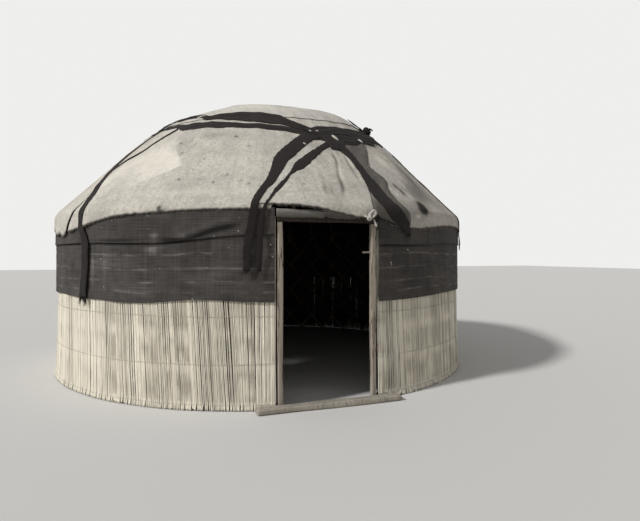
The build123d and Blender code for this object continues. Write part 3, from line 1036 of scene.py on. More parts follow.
@dataclass
class FeltPanel:
    """One roof felt between two sides, from its top to its hanging edge.

    Attributes:
        name: the piece's name.
        node: the CAD node that it stands for.
        left: plan radius and azimuth pairs of the left side.
        right: plan radius and azimuth pairs of the right side.
        hem: azimuth and height pairs of the hanging edge.
        top: plan radius of the upper edge.
        lift: height of its middle above the roof surface.
        spots: soft marks as azimuth, plan radius, width, length and amount.
        creases: furrows with painted shade along them, as lists of (azimuth, plan radius).
        laps: corners, as (azimuth, plan radius), of paler patches.
        seed: start of its random unevenness.
        step: distance between its points.
        edge: how uneven its edges are.
    """

    name: str
    node: str
    left: Edges
    right: Edges
    hem: Edges
    seed: int
    top: float = 0.716
    lift: float = -0.0045
    thickness: float = 0.009
    step: float = 0.032
    edge: Edge = Edge.WORN
    spots: list[Spot] = field(default_factory=list)
    creases: list[Edges] = field(default_factory=list)
    laps: list[Edges] = field(default_factory=list)
    lap_tone: float = 0.42
    # Painted shadow along the hanging edge.
    hem_shadow: float = 1.1
    # Painted shade in the creases.
    crease_shade: float = 0.55
    crease_depth: float = 0.010
    hem_height: float = 1.56
    fibre: float = 0.0011
    fibre_step: float = 0.012
    seen_fibre_step: float = 0.007

    def width(self, form: RoofForm) -> float:
        """Length of the hanging edge round the eave."""
        return np.radians(abs(self.right[-1][1] - self.left[-1][1])) * form.eave_radius

    def foot(self, form: RoofForm, azimuth: Array) -> Array:
        """Distance down to the hanging edge at each azimuth."""
        ragged = Ripple(self.edge.value, 0.045, self.seed + 3).line(np.radians(azimuth) * form.eave_radius)
        return form.at_height(level(self.hem, azimuth)) + ragged

    def hang(self, form: RoofForm, azimuth: Array, run: Array) -> Array:
        """How far the felt stands off where it hangs free below the eave."""
        free = Ripple(1.0, 0.42, self.seed + 5).line(np.radians(azimuth) * form.eave_radius)
        return np.clip(run - form.run[form.brow], 0, 0.25) * (0.03 + 0.05 * free)

    def side(self, form: RoofForm, pairs: Edges, run: Array, seed: int) -> Array:
        """Azimuth of a side at each distance, with a little wander.

        Args:
            form: the roof's surface.
            pairs: plan radius and azimuth pairs.
            run: distances from the crown.
            seed: start of its random unevenness.

        Returns:
            The azimuths.
        """
        line = flowing(pairs, SAMPLES * len(pairs))
        azimuth = np.interp(run, form.at_radius(line[:, 0]), line[:, 1])
        return azimuth + np.degrees(Ripple(self.edge.value, 0.3, seed).line(run) / 2)

    def build(self, form: RoofForm) -> Shape:
        """Closed felt: rows run across from side to side, columns down the slope.

        Args:
            form: the roof's surface.

        Returns:
            The closed felt with its net area.
        """
        first, last = form.at_radius(self.top), form.at_height(self.hem_height)
        cols = spaced(last - first, self.step, self.thickness)
        rows = spaced(self.width(form), self.step, self.thickness)
        sides = []
        for k, pairs in enumerate((self.left, self.right)):
            end = float(self.foot(form, np.array([pairs[-1][1]]))[0])
            sides.append(self.side(form, pairs, first + cols / cols[-1] * (end - first), self.seed + k))
        azimuth = sides[0] + (rows / rows[-1])[:, None] * (sides[1] - sides[0])
        foot = self.foot(form, azimuth)
        run = first + cols / cols[-1] * (foot - first)
        tone = form.marks(azimuth, run, self.spots)
        for lap in self.laps:
            tone = tone + self.lap_tone * form.lap(azimuth, run, lap)
        lift = np.full(azimuth.shape, self.lift)
        for crease in self.creases:
            line = flowing(crease, 200)
            at = np.interp(run, form.at_radius(line[:, 1]), line[:, 0])
            upper, lower = form.at_radius(line[0, 1]), form.at_radius(line[-1, 1])
            inside = ease((run - upper) / 0.08) * ease((lower - run) / 0.20)
            furrow = inside * bell(np.radians(azimuth - at) * 2.1, 0.020)
            # A crease is a furrow with painted shade along it.
            lift, tone = lift - self.crease_depth * furrow, tone - self.crease_shade * furrow
        lift = lift + self.hang(form, azimuth, run)
        # Painted shadow along the hanging edge.
        tone = tone - self.hem_shadow * bell(foot - run, 0.015)
        cut = np.stack([np.radians(azimuth) * 2.0, run], -1)
        thickness = self.thickness * swell(rows, cols, self.thickness)
        return shell(form.point(azimuth, run, lift), thickness, cut, tone)

    def fibres(self, form: RoofForm) -> Shape:
        """Loose wool fibres below the hanging edge: thin tapering tubes at random places and slants.

        Args:
            form: the roof's surface.

        Returns:
            The closed fibres.
        """
        random = np.random.default_rng(self.seed + 9)
        first, last = self.left[-1][1], self.right[-1][1]
        spacing = self.seen_fibre_step if self.step < 0.02 else self.fibre_step
        count = int(np.radians(last - first) * form.eave_radius / spacing)
        start = np.sort(random.uniform(first, last, count))[:, None]
        down = np.linspace(-0.2, 1, 4)
        azimuth = start + random.normal(0, 0.25, (count, 1)) * down
        run = self.foot(form, start) + random.uniform(0.004, 0.017, (count, 1)) * down
        lift = self.lift + self.hang(form, start, run) + random.normal(0, 0.004, (count, 1)) * down
        thin = self.fibre * (1 - 0.7 * np.clip(down, 0, 1))
        return threads(form.point(azimuth, run, lift), thin, 3, random.uniform(-1.0, 0.2, count))

    def lay(self, form: RoofForm, material: Material) -> bpy.types.Object:
        """Args:
            form: the roof's surface.
            material: its finish.

        Returns:
            The new piece.
        """
        shape = self.build(form)
        piece = lay(self.name, shape, material, [self.node])
        return piece


@dataclass
class RoofFelts:
    """The five roof felts with their joints, hanging edges, marks and creases."""

    door_left: Line = (
        (1.60, 8.2), (1.70, 6.4), (1.80, 1.8), (1.90, -2.6), (2.00, -5.6), (2.08, -7.4), (2.16, -9.3),
        (2.26, -11.6), (2.36, -13.4)
    )
    door_right: Line = (
        (1.60, 9.0), (1.70, 10.2), (1.80, 12.2), (1.90, 13.2), (2.02, 13.0), (2.11, 12.4), (2.17, 11.4),
        (2.23, 10.9), (2.31, 9.9), (2.36, 9.4), (2.42, 9.2)
    )
    left_joint: float = -62.2
    right_joint: float = 52.0
    back_joint: float = 195.0
    front_joint: float = 9.0
    gap: float = 0.12

    def under(self, edge: Line, gap: float) -> Edges:
        """Side of a front felt: beside the front joint, then ten gaps under the door felt's edge."""
        joint = self.front_joint - gap
        return [(0.70, joint), (1.45, joint)] + [(r, a + 10 * gap) for r, a in edge]

    def panels(self) -> list[FeltPanel]:
        """The panels in order round the roof.

        Returns:
            The five panels.
        """
        left, right, back = self.left_joint, self.right_joint, self.back_joint
        slit = [
            (0.70, left, 0), (1.6, left, 0), (2.10, left + 0.3, 0), (2.20, left + 1.2, 0.10),
            (2.27, left + 1.8, 0.22), (2.333, left + 2.2, 0.35), (2.357, left + 1.4, 0.45),
            (2.424, left - 0.25, 0.6), (2.485, left - 1.3, 0.7)
        ]
        joint_left, joint_outer = ([(r, a + side * open_by) for r, a, open_by in slit] for side in (1, -1))
        joint_right, joint_back = ([(r, joint) for r in (0.70, 1.6, 2.36)] for joint in (right, back))
        under_left, under_right = self.under(self.door_left, self.gap), self.under(self.door_right, -self.gap)
        hem_left = [
            (-64, 1.44), (-62.4, 1.446), (-60.6, 1.456), (-58.2, 1.470), (-56.0, 1.480), (-53.2, 1.503),
            (-47.2, 1.545), (-43, 1.562), (-35, 1.575), (-25, 1.592), (-16, 1.596), (0, 1.592), (20, 1.59)
        ]
        hem_back_left = [
            (-165, 1.545), (-150, 1.52), (-132, 1.55), (-112, 1.51), (-95, 1.54), (-84, 1.50), (-76.7, 1.465),
            (-72.2, 1.422), (-68.5, 1.432), (-66.3, 1.403), (-64.6, 1.43), (-63.5, 1.455), (-60, 1.46)
        ]
        hem_right = [
            (0, 1.59), (8, 1.573), (10, 1.558), (12, 1.532), (14.6, 1.505), (17, 1.478), (22, 1.465),
            (28, 1.485), (35, 1.515), (43, 1.52), (52, 1.50), (56, 1.50)
        ]
        hem_back_right = [
            (50, 1.49), (58, 1.51), (72, 1.55), (90, 1.52), (108, 1.555), (128, 1.53), (147, 1.55),
            (163, 1.515), (180, 1.54), (192, 1.52), (198, 1.52)
        ]
        hem_door = [
            (-20, 1.645), (-10, 1.635), (-3.7, 1.620), (-1.2, 1.598), (2.5, 1.568), (5.0, 1.552),
            (7.1, 1.545), (9.2, 1.537), (12, 1.528), (16, 1.52)
        ]
        pale = [
            (-52, 1.85, 0.45, 0.30, 0.40), (-62, 2.1, 0.15, 0.3, 0.35), (-20, 1.95, 0.25, 0.35, 0.25),
            (-28, 2.24, 0.5, 0.06, 0.30)
        ]
        specks = [
            (-37.5, 1.825), (-18.0, 1.763), (-33.2, 2.117), (-24.6, 2.154), (-22.0, 2.077), (-18.6, 2.132),
            (-16.7, 2.163), (-22.6, 1.645), (-12.4, 2.114), (-47.0, 2.030), (-56.0, 1.66), (-29.5, 1.90),
            (-41.0, 1.70)
        ]
        worn = [(a, r, 0.014, 0.018, -1.0) for a, r in specks]
        worn += [
            (-34.3, 2.349, 0.020, 0.026, -1.2), (-28, 2.12, 0.06, 0.03, -0.4), (-41, 2.27, 0.06, 0.02, -0.4),
            (-30, 1.62, 0.22, 0.09, -0.35), (-39, 1.72, 0.09, 0.13, -0.3)
        ]
        # Right felt: streaks, a pale area and a hole; its broad darker marks are painted shade.
        lens = [
            (19.3, 2.13, 0.016, 0.06, 0.9), (20.2, 2.19, 0.014, 0.05, 0.9), (22.3, 2.10, 0.018, 0.05, -0.8),
            (23.0, 2.16, 0.018, 0.05, -0.8), (26.1, 2.046, 0.05, 0.07, 0.45), (24.7, 2.194, 0.03, 0.05, 0.4),
            (27.5, 1.80, 0.13, 0.17, 0.85), (36, 1.95, 0.16, 0.4, -0.5), (30, 2.16, 0.20, 0.20, -0.45),
            (26.3, 2.295, 0.040, 0.044, -2.8), (25.7, 2.332, 0.048, 0.030, -2.8),
            (23.1, 2.356, 0.030, 0.014, 1.2), (18.2, 2.325, 0.035, 0.010, 1.1),
            (22.5, 2.33, 0.24, 0.13, -0.42), (11.3, 2.32, 0.10, 0.13, -0.75), (13.5, 2.42, 0.15, 0.10, -0.7),
            (24, 1.98, 0.5, 0.5, -0.16)
        ]
        soft = [
            (4, 2.15, 0.2, 0.12, -0.20), (9.0, 2.1, 0.07, 0.3, 0.35), (9.0, 1.75, 0.03, 0.08, -0.4),
            (1.5, 2.05, 0.08, 0.12, 0.2), (6.0, 2.05, 0.03, 0.2, 0.2), (-0.1, 2.19, 0.024, 0.12, -0.42),
            (1.4, 2.22, 0.020, 0.09, -0.30), (5.6, 1.78, 0.05, 0.16, -0.22), (11.6, 1.86, 0.02, 0.10, 0.5)
        ]
        folds = [
            [(6.7, 1.794), (7.0, 1.871), (6.0, 1.979), (5.1, 2.071), (4.7, 2.169), (3.4, 2.299)],
            [(10.8, 1.82), (10.6, 2.0), (10.2, 2.15)]
        ]
        angle = [(-42.8, 2.10), (-34.7, 1.967), (-46.3, 1.567)]
        return [
            FeltPanel(
                "roof_felt_left", "roof_felt_front_left", joint_left, under_left, hem_left, 20, step=0.0165,
                spots=pale + worn, laps=[angle]
            ),
            FeltPanel(
                "roof_felt_right", "roof_felt_front_right", under_right, joint_right, hem_right, 30,
                step=0.0165, spots=lens
            ),
            FeltPanel(
                "roof_felt_rear_right", "roof_felt_back_right", joint_right, joint_back, hem_back_right, 40,
                spots=[
                    (80, 1.7, 0.5, 0.4, 0.35), (140, 1.9, 0.4, 0.5, -0.3), (170, 1.5, 0.3, 0.3, 0.4),
                    (110, 2.1, 0.3, 0.2, -0.3), (60, 1.9, 0.2, 0.3, 0.3)
                ]
            ),
            FeltPanel(
                "roof_felt_rear_left", "roof_felt_back_left", [(r, a - 360) for r, a in joint_back],
                joint_outer, hem_back_left, 50,
                spots=[
                    (-90, 1.8, 0.5, 0.4, 0.4), (-130, 1.9, 0.4, 0.3, -0.3), (-150, 1.5, 0.3, 0.4, 0.3),
                    (-110, 2.2, 0.4, 0.1, -0.3)
                ]
            ),
            FeltPanel(
                "roof_felt_over_door", "roof_felt_door", list(self.door_left), list(self.door_right),
                hem_door, 60, top=1.60, lift=0.0060, step=0.012, spots=soft, creases=folds
            )
        ]


@dataclass
class Band:
    """Woven strap laid on the roof between two edges, and then down a hanging tail.

    Attributes:
        name: the piece's name.
        left: (azimuth, plan radius) points of one edge, from the strap's start.
        right: the same for the other edge.
        seed: start of its random unevenness.
        nodes: CAD nodes that it stands for.
        tail: (azimuth, height, width) points below the eave, or none.
        lift: height of its middle above the roof surface.
        rise: how much the lift grows from start to end.
        thickness: its thickness.
        edge: how uneven its edges are.
        pleats: number of pleats across it.
        pale: tone of its worn edges.
        frays: number of loose threads at its foot.
        prongs: extra length of the loose threads at both sides.
        step: distance between its rows of points.
    """

    name: str
    left: Edges
    right: Edges
    seed: int
    nodes: list[str] = field(default_factory=list)
    tail: list[tuple[float, float, float]] = field(default_factory=list)
    lift: float = 0.005
    rise: float = 0.0
    thickness: float = 0.0045
    edge: Edge = Edge.WORN
    pleats: int = 0
    pale: float = 0.0
    frays: int = 0
    prongs: float = 0.0
    step: float = 0.012
    pleat_height: float = 0.0035
    # Painted shade in the pleats' troughs.
    pleat_shade: float = 60.0
    thread: float = 0.0030

    def border(self, form: RoofForm, pairs: Edges, side: float) -> Array:
        """Azimuth and distance at even steps along one edge and its side of the tail.

        Args:
            form: the roof's surface.
            pairs: (azimuth, plan radius) points of the edge.
            side: share of the tail's width between its middle and this edge.

        Returns:
            Rows of azimuth and distance.
        """
        points = [(a, float(form.at_radius(r))) for a, r in pairs]
        for a, z, w in self.tail:
            points.append((a + side * np.degrees(w / form.eave_radius), float(form.at_height(z))))
        line = flowing(points, 40 * len(points))
        radius = np.interp(line[:, 1], form.run, form.radius)
        across = np.radians(np.diff(line[:, 0])) * (radius[1:] + radius[:-1]) / 2
        steps = np.hypot(across, np.diff(line[:, 1]))
        length = np.concatenate([[0], steps.cumsum()])
        return resampled(np.linspace(0, length[-1], 600), length, line)

    def build(self, form: RoofForm) -> Shape:
        """Closed band: rows run along it, columns across from edge to edge.

        A point is the middle plus a share of half the way from edge to edge in the unrolled roof, and the
        lift grows by a step where the band lies on the crown cover.

        Args:
            form: the roof's surface.

        Returns:
            The closed band with its loose threads.
        """
        left, right = self.border(form, self.left, -0.5), self.border(form, self.right, 0.5)
        middle, half = (left + right) / 2, (right - left) / 2
        radius = np.maximum(np.interp(middle[:, 1], form.run, form.radius), 0.2)
        scale = np.stack([np.radians(radius), np.ones(len(radius))], -1)
        steps = np.linalg.norm(np.diff(middle, axis=0) * (scale[1:] + scale[:-1]) / 2, axis=1)
        length = np.concatenate([[0], steps.cumsum()])
        along = spaced(length[-1], self.step, self.thickness)
        middle, half, scale = (resampled(along, length, line) for line in (middle, half, scale))
        reach = np.linalg.norm(half * scale, axis=1)
        wide = 2 * float(reach.max())
        rim = min(self.thickness, wide / 5)
        side = spaced(wide, 0.02, rim)
        across = 2 * side / wide - 1
        ragged = [Ripple(self.edge.value, 0.05, self.seed + k).line(along)[:, None] for k in (1, 2)]
        uneven = np.where(across > 0, ragged[0], ragged[1]) * across**2
        uneven = uneven + Ripple(0.003, 0.4, self.seed + 3).line(along)[:, None]
        unit = half / reach[:, None]
        place = middle[:, None] + across[:, None] * half[:, None] + uneven[..., None] * unit[:, None]
        a, s = place[..., 0], place[..., 1]
        curl = Ripple(0.0022, 0.25, self.seed + 4).line(along)[:, None] * across
        pleat = np.sin(np.pi * (self.pleats * across + Ripple(0.8, 0.5, self.seed + 6).line(along)[:, None]))
        pleat = (pleat * self.pleat_height if self.pleats else 0) * (1 - across**4)
        hang = np.clip(s - form.run[form.brow], 0, 0.6)
        sway = np.abs(Ripple(0.010, 0.35, self.seed + 5).line(along))[:, None] * ease(hang / 0.2)
        step = form.cover_step * ease((form.at_radius(form.cover_rim) - s) / 0.04 + 0.5)
        rise = self.rise * (along / along[-1])[:, None]
        lift = self.lift + rise + curl + pleat + sway + step - 0.5 * self.thickness * across**6
        thickness = self.thickness * swell(along, side, rim)
        cut = np.stack([across * reach[:, None], np.broadcast_to(along[:, None], a.shape)], -1)
        # Worn pale edges, and painted shade in the pleats' troughs.
        tone = self.pale * bell(1 - np.abs(across), 0.16) + self.pleat_shade * np.minimum(pleat, 0)
        shapes = [shell(form.point(a, s, lift), thickness, cut, tone)]
        if self.frays:
            shapes.append(self.fringe(form, middle[-1], float(reach[-1])))
        return joined(shapes)

    def fringe(self, form: RoofForm, end: Array, half: float) -> Shape:
        """Loose threads at the foot: thin upright tubes that spread and differ in length.

        Args:
            form: the roof's surface.
            end: azimuth and distance of the foot's middle.
            half: half the foot's width.

        Returns:
            The closed threads.
        """
        random = np.random.default_rng(self.seed)
        share = np.linspace(-0.95, 0.95, self.frays)
        long = random.uniform(0.02, 0.055, self.frays) + self.prongs * bell(np.abs(share) - 0.72, 0.25)
        down = np.linspace(-0.25, 1, 7)
        spread = random.normal(0, 0.25, (self.frays, 1)) + 0.25 * share[:, None]
        a = end[0] + np.degrees(share * half / form.eave_radius)[:, None] + spread * np.clip(down, 0, 1) ** 2
        s = end[1] + long[:, None] * down
        lift = self.lift + random.normal(0.003, 0.004, (self.frays, 1)) * np.clip(down, 0, 1)
        return threads(form.point(a, s, lift), self.thread * (1 - 0.6 * np.clip(down, 0, 1)), 5)

    def lay(self, form: RoofForm, material: Material, slot: str = "woven_strap") -> bpy.types.Object:
        """Lays the band as a piece of its own."""
        return lay(self.name, self.build(form), material, self.nodes)


def ring_edges(front: list[tuple[float, float, float]], upper: float, lower: float) -> tuple[Edges, Edges]:
    """Edges of a band round the crown: traced (azimuth, upper, lower radius) at the front, even behind.

    Its ends lie over each other behind the crown.

    Args:
        front: the traced points.
        upper: mean radius of the upper edge behind.
        lower: mean radius of the lower edge behind.

    Returns:
        The upper and the lower edge.
    """
    wave = [(float(a), 0.012 * float(np.sin(np.radians(a * 5)))) for a in np.linspace(80, 186, 7)]
    left = [(a - 360, 0.6 * w) for a, w in [(174.0, 0.01)] + [(360 - b, v) for b, v in wave[-2::-1]]]
    sides = []
    for index, rest in ((1, upper), (2, lower)):
        traced = [(point[0], point[index]) for point in front]
        sides.append([(a, rest + w) for a, w in left] + traced + [(a, rest + w) for a, w in wave])
    return sides[0], sides[1]


# Places read off the photograph's pixels and turned into roof places by the fitted camera, outside this
# script. Most points of the front felts, bands, wall folds and marks come from the same work.
TRACED: dict[str, tuple[Edges, Edges]] = {
    "front_strap_narrow": (
        [
            (8.8, 1.60), (6.7, 1.678), (3.2, 1.745), (0.1, 1.81), (-2.9, 1.877), (-5.2, 1.944), (-6.7, 2.02),
            (-8.3, 2.092), (-10.0, 2.162), (-11.4, 2.231), (-12.6, 2.303), (-13.3, 2.340)
        ],
        [
            (11.0, 1.66), (7.6, 1.735), (4.5, 1.786), (1.8, 1.853), (-0.6, 1.92), (-3.0, 1.993),
            (-5.8, 2.042), (-7.3, 2.081), (-8.5, 2.146), (-9.6, 2.202), (-11.4, 2.27), (-12.4, 2.326),
            (-12.8, 2.342)
        ]
    ),
    "front_strap_wide": (
        [
            (0.6, 1.57), (-1.2, 1.612), (-4.3, 1.678), (-8.4, 1.798), (-10.8, 1.894), (-11.7, 1.997),
            (-13.1, 2.141), (-14.8, 2.248), (-15.8, 2.335)
        ],
        [
            (10.0, 1.60), (6.0, 1.632), (2.8, 1.667), (-1.0, 1.752), (-3.6, 1.819), (-5.5, 1.885),
            (-7.2, 1.935), (-8.7, 2.01), (-10.1, 2.093), (-11.2, 2.165), (-12.7, 2.222), (-13.8, 2.298),
            (-14.3, 2.338)
        ]
    ),
    "front_strap_right_wool": (
        [
            (7.4, 1.60), (7.8, 1.70), (9.5, 1.767), (11.3, 1.828), (12.0, 1.921), (11.9, 2.025),
            (11.6, 2.128), (11.4, 2.24), (12.2, 2.335)
        ],
        [
            (12.0, 1.60), (13.2, 1.706), (14.2, 1.786), (14.4, 1.884), (14.3, 1.962), (14.5, 2.036),
            (15.3, 2.105), (15.3, 2.177), (15.5, 2.256), (16.3, 2.313), (17.2, 2.345)
        ]
    ),
    "left_edge_strap": (
        [
            (-66.5, 1.36), (-68, 1.50), (-69.5, 1.65), (-70.6, 1.78), (-69.0, 1.90), (-66.3, 1.99),
            (-63.0, 2.10), (-60.2, 2.21), (-58.0, 2.30), (-57.4, 2.34)
        ],
        [
            (-64, 1.36), (-65, 1.50), (-66.4, 1.65), (-67.2, 1.78), (-65.4, 1.90), (-62.8, 1.99),
            (-60.5, 2.10), (-57.8, 2.21), (-55.7, 2.30), (-55.0, 2.34)
        ]
    ),
    "left_edge_cord": (
        [(-50.4, 1.450), (-52.4, 1.552), (-55.6, 1.658), (-59.6, 1.752), (-63.4, 1.825), (-65.8, 1.90)],
        [(-49.8, 1.465), (-51.8, 1.567), (-55.0, 1.672), (-59.0, 1.766), (-62.8, 1.842), (-65.2, 1.92)]
    ),
    "right_edge_strap": (
        [(43.5, 1.36), (42.6, 1.50), (43.3, 1.60), (45.5, 1.75), (48.0, 1.95), (48.8, 2.15), (48.5, 2.33)],
        [(47.5, 1.36), (46.2, 1.50), (46.4, 1.60), (48.0, 1.75), (50.4, 1.95), (51.0, 2.15), (50.3, 2.33)]
    ),
    "rear_strap": (
        [(194.4, 1.40), (193.9, 1.8), (194.4, 2.1), (194.1, 2.33)],
        [(196.6, 1.40), (196.1, 1.8), (196.2, 2.1), (195.8, 2.33)]
    ),
    "soft_band_right": (
        [
            (13.0, 1.57), (12.6, 1.70), (13.0, 1.79), (13.2, 1.884), (13.2, 1.962), (13.4, 2.036),
            (14.1, 2.105), (14.0, 2.177), (13.6, 2.256), (13.8, 2.313), (14.8, 2.345)
        ],
        [
            (28.0, 1.56), (24.9, 1.63), (22.8, 1.723), (19.6, 1.831), (17.8, 1.914), (18.9, 1.981),
            (20.2, 2.047), (18.5, 2.143), (18.0, 2.221), (18.6, 2.303), (19.6, 2.345)
        ]
    ),
    "pale_strip": (
        [
            (1.6, 1.667), (-2.2, 1.752), (-4.8, 1.819), (-6.7, 1.885), (-8.4, 1.935), (-9.9, 2.01),
            (-11.3, 2.093), (-12.4, 2.165), (-13.7, 2.222), (-14.8, 2.298), (-15.2, 2.335)
        ],
        [
            (8.3, 1.675), (4.4, 1.753), (1.3, 1.82), (-1.7, 1.887), (-4.2, 1.953), (-5.8, 2.027),
            (-7.4, 2.099), (-9.1, 2.169), (-10.6, 2.238), (-12.0, 2.305), (-12.9, 2.338)
        ]
    )
}


class Straps:
    """All woven straps, the two bands round the crown, and the heap of strap ends at the front.

    TRACED holds the (azimuth, plan radius) points of both edges of each strap by its name.
    """

    def traced(self, name: str, seed: int, *rest: list, **values: object) -> Band:
        """Band between the two traced edges of its name."""
        return Band(name, *TRACED[name], seed, *rest, **values)

    def bands(self) -> list[Band]:
        """Every strap in laying order.

        Returns:
            The straps and the two bands round the crown.
        """
        upper = ring_edges(
            [
                (-63, 1.18, 1.27), (-55, 1.17, 1.25), (-48, 1.18, 1.25), (-43, 1.22, 1.29),
                (-39, 1.258, 1.335), (-32, 1.23, 1.348), (-27, 1.21, 1.38), (-20, 1.205, 1.41),
                (-14, 1.218, 1.437), (-6, 1.295, 1.465), (0, 1.42, 1.53), (6, 1.49, 1.57), (14, 1.50, 1.57),
                (24, 1.47, 1.54), (32, 1.43, 1.51), (39, 1.34, 1.43), (46, 1.29, 1.385), (60, 1.26, 1.355)
            ],
            1.235, 1.335
        )
        lower = ring_edges(
            [
                (-63, 1.34, 1.41), (-56, 1.345, 1.415), (-50, 1.37, 1.455), (-46, 1.378, 1.508),
                (-42, 1.378, 1.504), (-38, 1.378, 1.495), (-32, 1.397, 1.510), (-24, 1.434, 1.521),
                (-17, 1.452, 1.532), (-11, 1.467, 1.550), (-5, 1.490, 1.572), (0, 1.515, 1.605),
                (6, 1.56, 1.65), (14, 1.59, 1.665), (24, 1.55, 1.62), (31, 1.50, 1.58), (40, 1.44, 1.52),
                (50, 1.41, 1.49), (60, 1.39, 1.465)
            ],
            1.385, 1.46
        )
        return [
            Band(
                "crown_band_lower_strap", *lower, 110, ["crown_band_lower"], step=0.015, lift=0.003,
                rise=0.005, pleats=2, pale=0.12
            ),
            Band(
                "crown_band_upper_strap", *upper, 120, ["crown_band_upper"], step=0.015, lift=0.0085,
                rise=0.005, pleats=3, pale=0.12
            ),
            self.traced(
                "front_strap_narrow", 130, ["strap_front_left_narrow"],
                [(-13.8, 1.50, 0.045), (-14.2, 1.30, 0.042), (-14.3, 1.12, 0.036)], lift=0.0135, frays=9
            ),
            self.traced(
                "front_strap_wide", 140, ["strap_front_left_wide"],
                [(-15.7, 1.50, 0.066), (-16.5, 1.30, 0.066), (-16.6, 1.12, 0.060)], lift=0.0155, frays=13
            ),
            self.traced(
                "front_strap_right_wool", 150, ["strap_front_right"],
                [(15.9, 1.57, 0.20), (17.0, 1.53, 0.19), (18.0, 1.48, 0.13), (19.0, 1.42, 0.06)], lift=0.0155,
                frays=8
            ),
            self.traced(
                "left_edge_strap", 160, ["strap_left_edge"],
                [
                    (-56.6, 1.54, 0.085), (-56.4, 1.47, 0.09), (-55.4, 1.40, 0.10), (-55.0, 1.28, 0.105),
                    (-55.4, 1.10, 0.11), (-56.2, 0.875, 0.12)
                ],
                lift=0.0045, frays=34, prongs=0.05
            ),
            self.traced("left_edge_cord", 165, lift=0.005, thickness=0.009, pale=0.5),
            self.traced(
                "right_edge_strap", 170, ["strap_right_edge"], [(49.2, 1.45, 0.066), (49.4, 1.34, 0.06)],
                lift=0.012, rise=-0.0075, frays=9
            ),
            self.traced(
                "rear_strap", 180, ["strap_back"], [(194.6, 1.45, 0.064), (194.9, 1.34, 0.06)], lift=0.0045,
                frays=9
            )
        ]

    def soft_band(self) -> Band:
        """Grey wool band beside the right strap, widest at its top, with a lobed outer edge."""
        return self.traced(
            "soft_band_right", 190, tail=[(18.7, 1.55, 0.11), (19.4, 1.50, 0.06)], lift=0.006,
            thickness=0.007, edge=Edge.RAGGED, pleats=1
        )

    def pale_strip(self) -> Band:
        """Pale felt strip that shows between the two left front straps."""
        return self.traced("pale_strip", 200, lift=0.0075, thickness=0.008, edge=Edge.RAGGED, pale=0.25)

    def tangle(self, form: RoofForm) -> Shape:
        """Strap ends heaped flat over the crown's front right edge, one over the other.

        Args:
            form: the roof's surface.

        Returns:
            The closed heap.
        """
        heap = [
            (
                [(3.8, 1.58), (6.9, 1.62), (12, 1.62), (19.4, 1.595), (28, 1.545), (33, 1.54)],
                [
                    (5.5, 1.66), (7.6, 1.69), (13, 1.69), (19.5, 1.66), (24.2, 1.622), (28.3, 1.604),
                    (33, 1.60)
                ],
                0.0115
            ),
            (
                [(2.2, 1.53), (6.3, 1.55), (13.1, 1.52), (20.4, 1.51), (27.3, 1.50), (34, 1.50)],
                [(3.8, 1.61), (6.9, 1.65), (12, 1.65), (19.4, 1.63), (28, 1.575), (34.5, 1.56)], 0.0165
            ),
            (
                [
                    (0.6, 1.55), (2.1, 1.52), (5.6, 1.478), (12.1, 1.438), (17.8, 1.43), (25.2, 1.42),
                    (32.2, 1.40), (35.5, 1.43)
                ],
                [(1.5, 1.58), (3, 1.59), (6.3, 1.60), (13.1, 1.56), (20.4, 1.545), (27.3, 1.53), (35, 1.53)],
                0.0215
            ),
            ([(5.6, 1.60), (6.6, 1.69), (7.0, 1.772)], [(15.0, 1.62), (13.0, 1.71), (10.0, 1.772)], 0.0205),
            (
                [(34.5, 1.19), (38, 1.20), (41, 1.24), (46, 1.30)],
                [(34.5, 1.26), (38, 1.29), (41, 1.33), (45, 1.39)], 0.013
            ),
            (
                [(29, 1.47), (36, 1.42), (43, 1.36), (50, 1.33)],
                [(29, 1.55), (36, 1.50), (43, 1.44), (50, 1.41)], 0.0165
            )
        ]
        shapes = [
            Band("", left, right, 210 + 7 * k, lift=lift, thickness=0.007, pleats=2, pale=0.10).build(form)
            for k, (left, right, lift) in enumerate(heap)
        ]
        return joined(shapes)

    def ties(self, form: RoofForm) -> Shape:
        """Pale felt ties that show among the straps: short rolls, thick in the middle.

        Args:
            form: the roof's surface.

        Returns:
            The closed ties.
        """
        rolls = [
            ((10.4, 1.596), (11.7, 1.655), 0.013, 0.030), ((22.4, 1.590), (23.3, 1.630), 0.009, 0.027),
            ((2.2, 1.560), (2.9, 1.574), 0.007, 0.028), ((4.9, 1.550), (5.8, 1.566), 0.006, 0.028),
            ((-1.6, 1.725), (-0.9, 1.745), 0.007, 0.020), ((-45.6, 1.290), (-41.6, 1.246), 0.009, 0.020)
        ]
        share = np.linspace(0, 1, 14)
        shapes = []
        for first, last, thick, lift in rolls:
            azimuth = first[0] + share * (last[0] - first[0])
            run = form.at_radius(first[1] + share * (last[1] - first[1]))
            middle = form.point(azimuth, run, lift + 0 * share)
            outward = form.point(azimuth, run, lift + 0.1 + 0 * share) - middle
            shapes.append(rope(middle, thick * np.sqrt(np.sin(np.pi * (0.04 + 0.92 * share))), outward, 12))
        return joined(shapes)

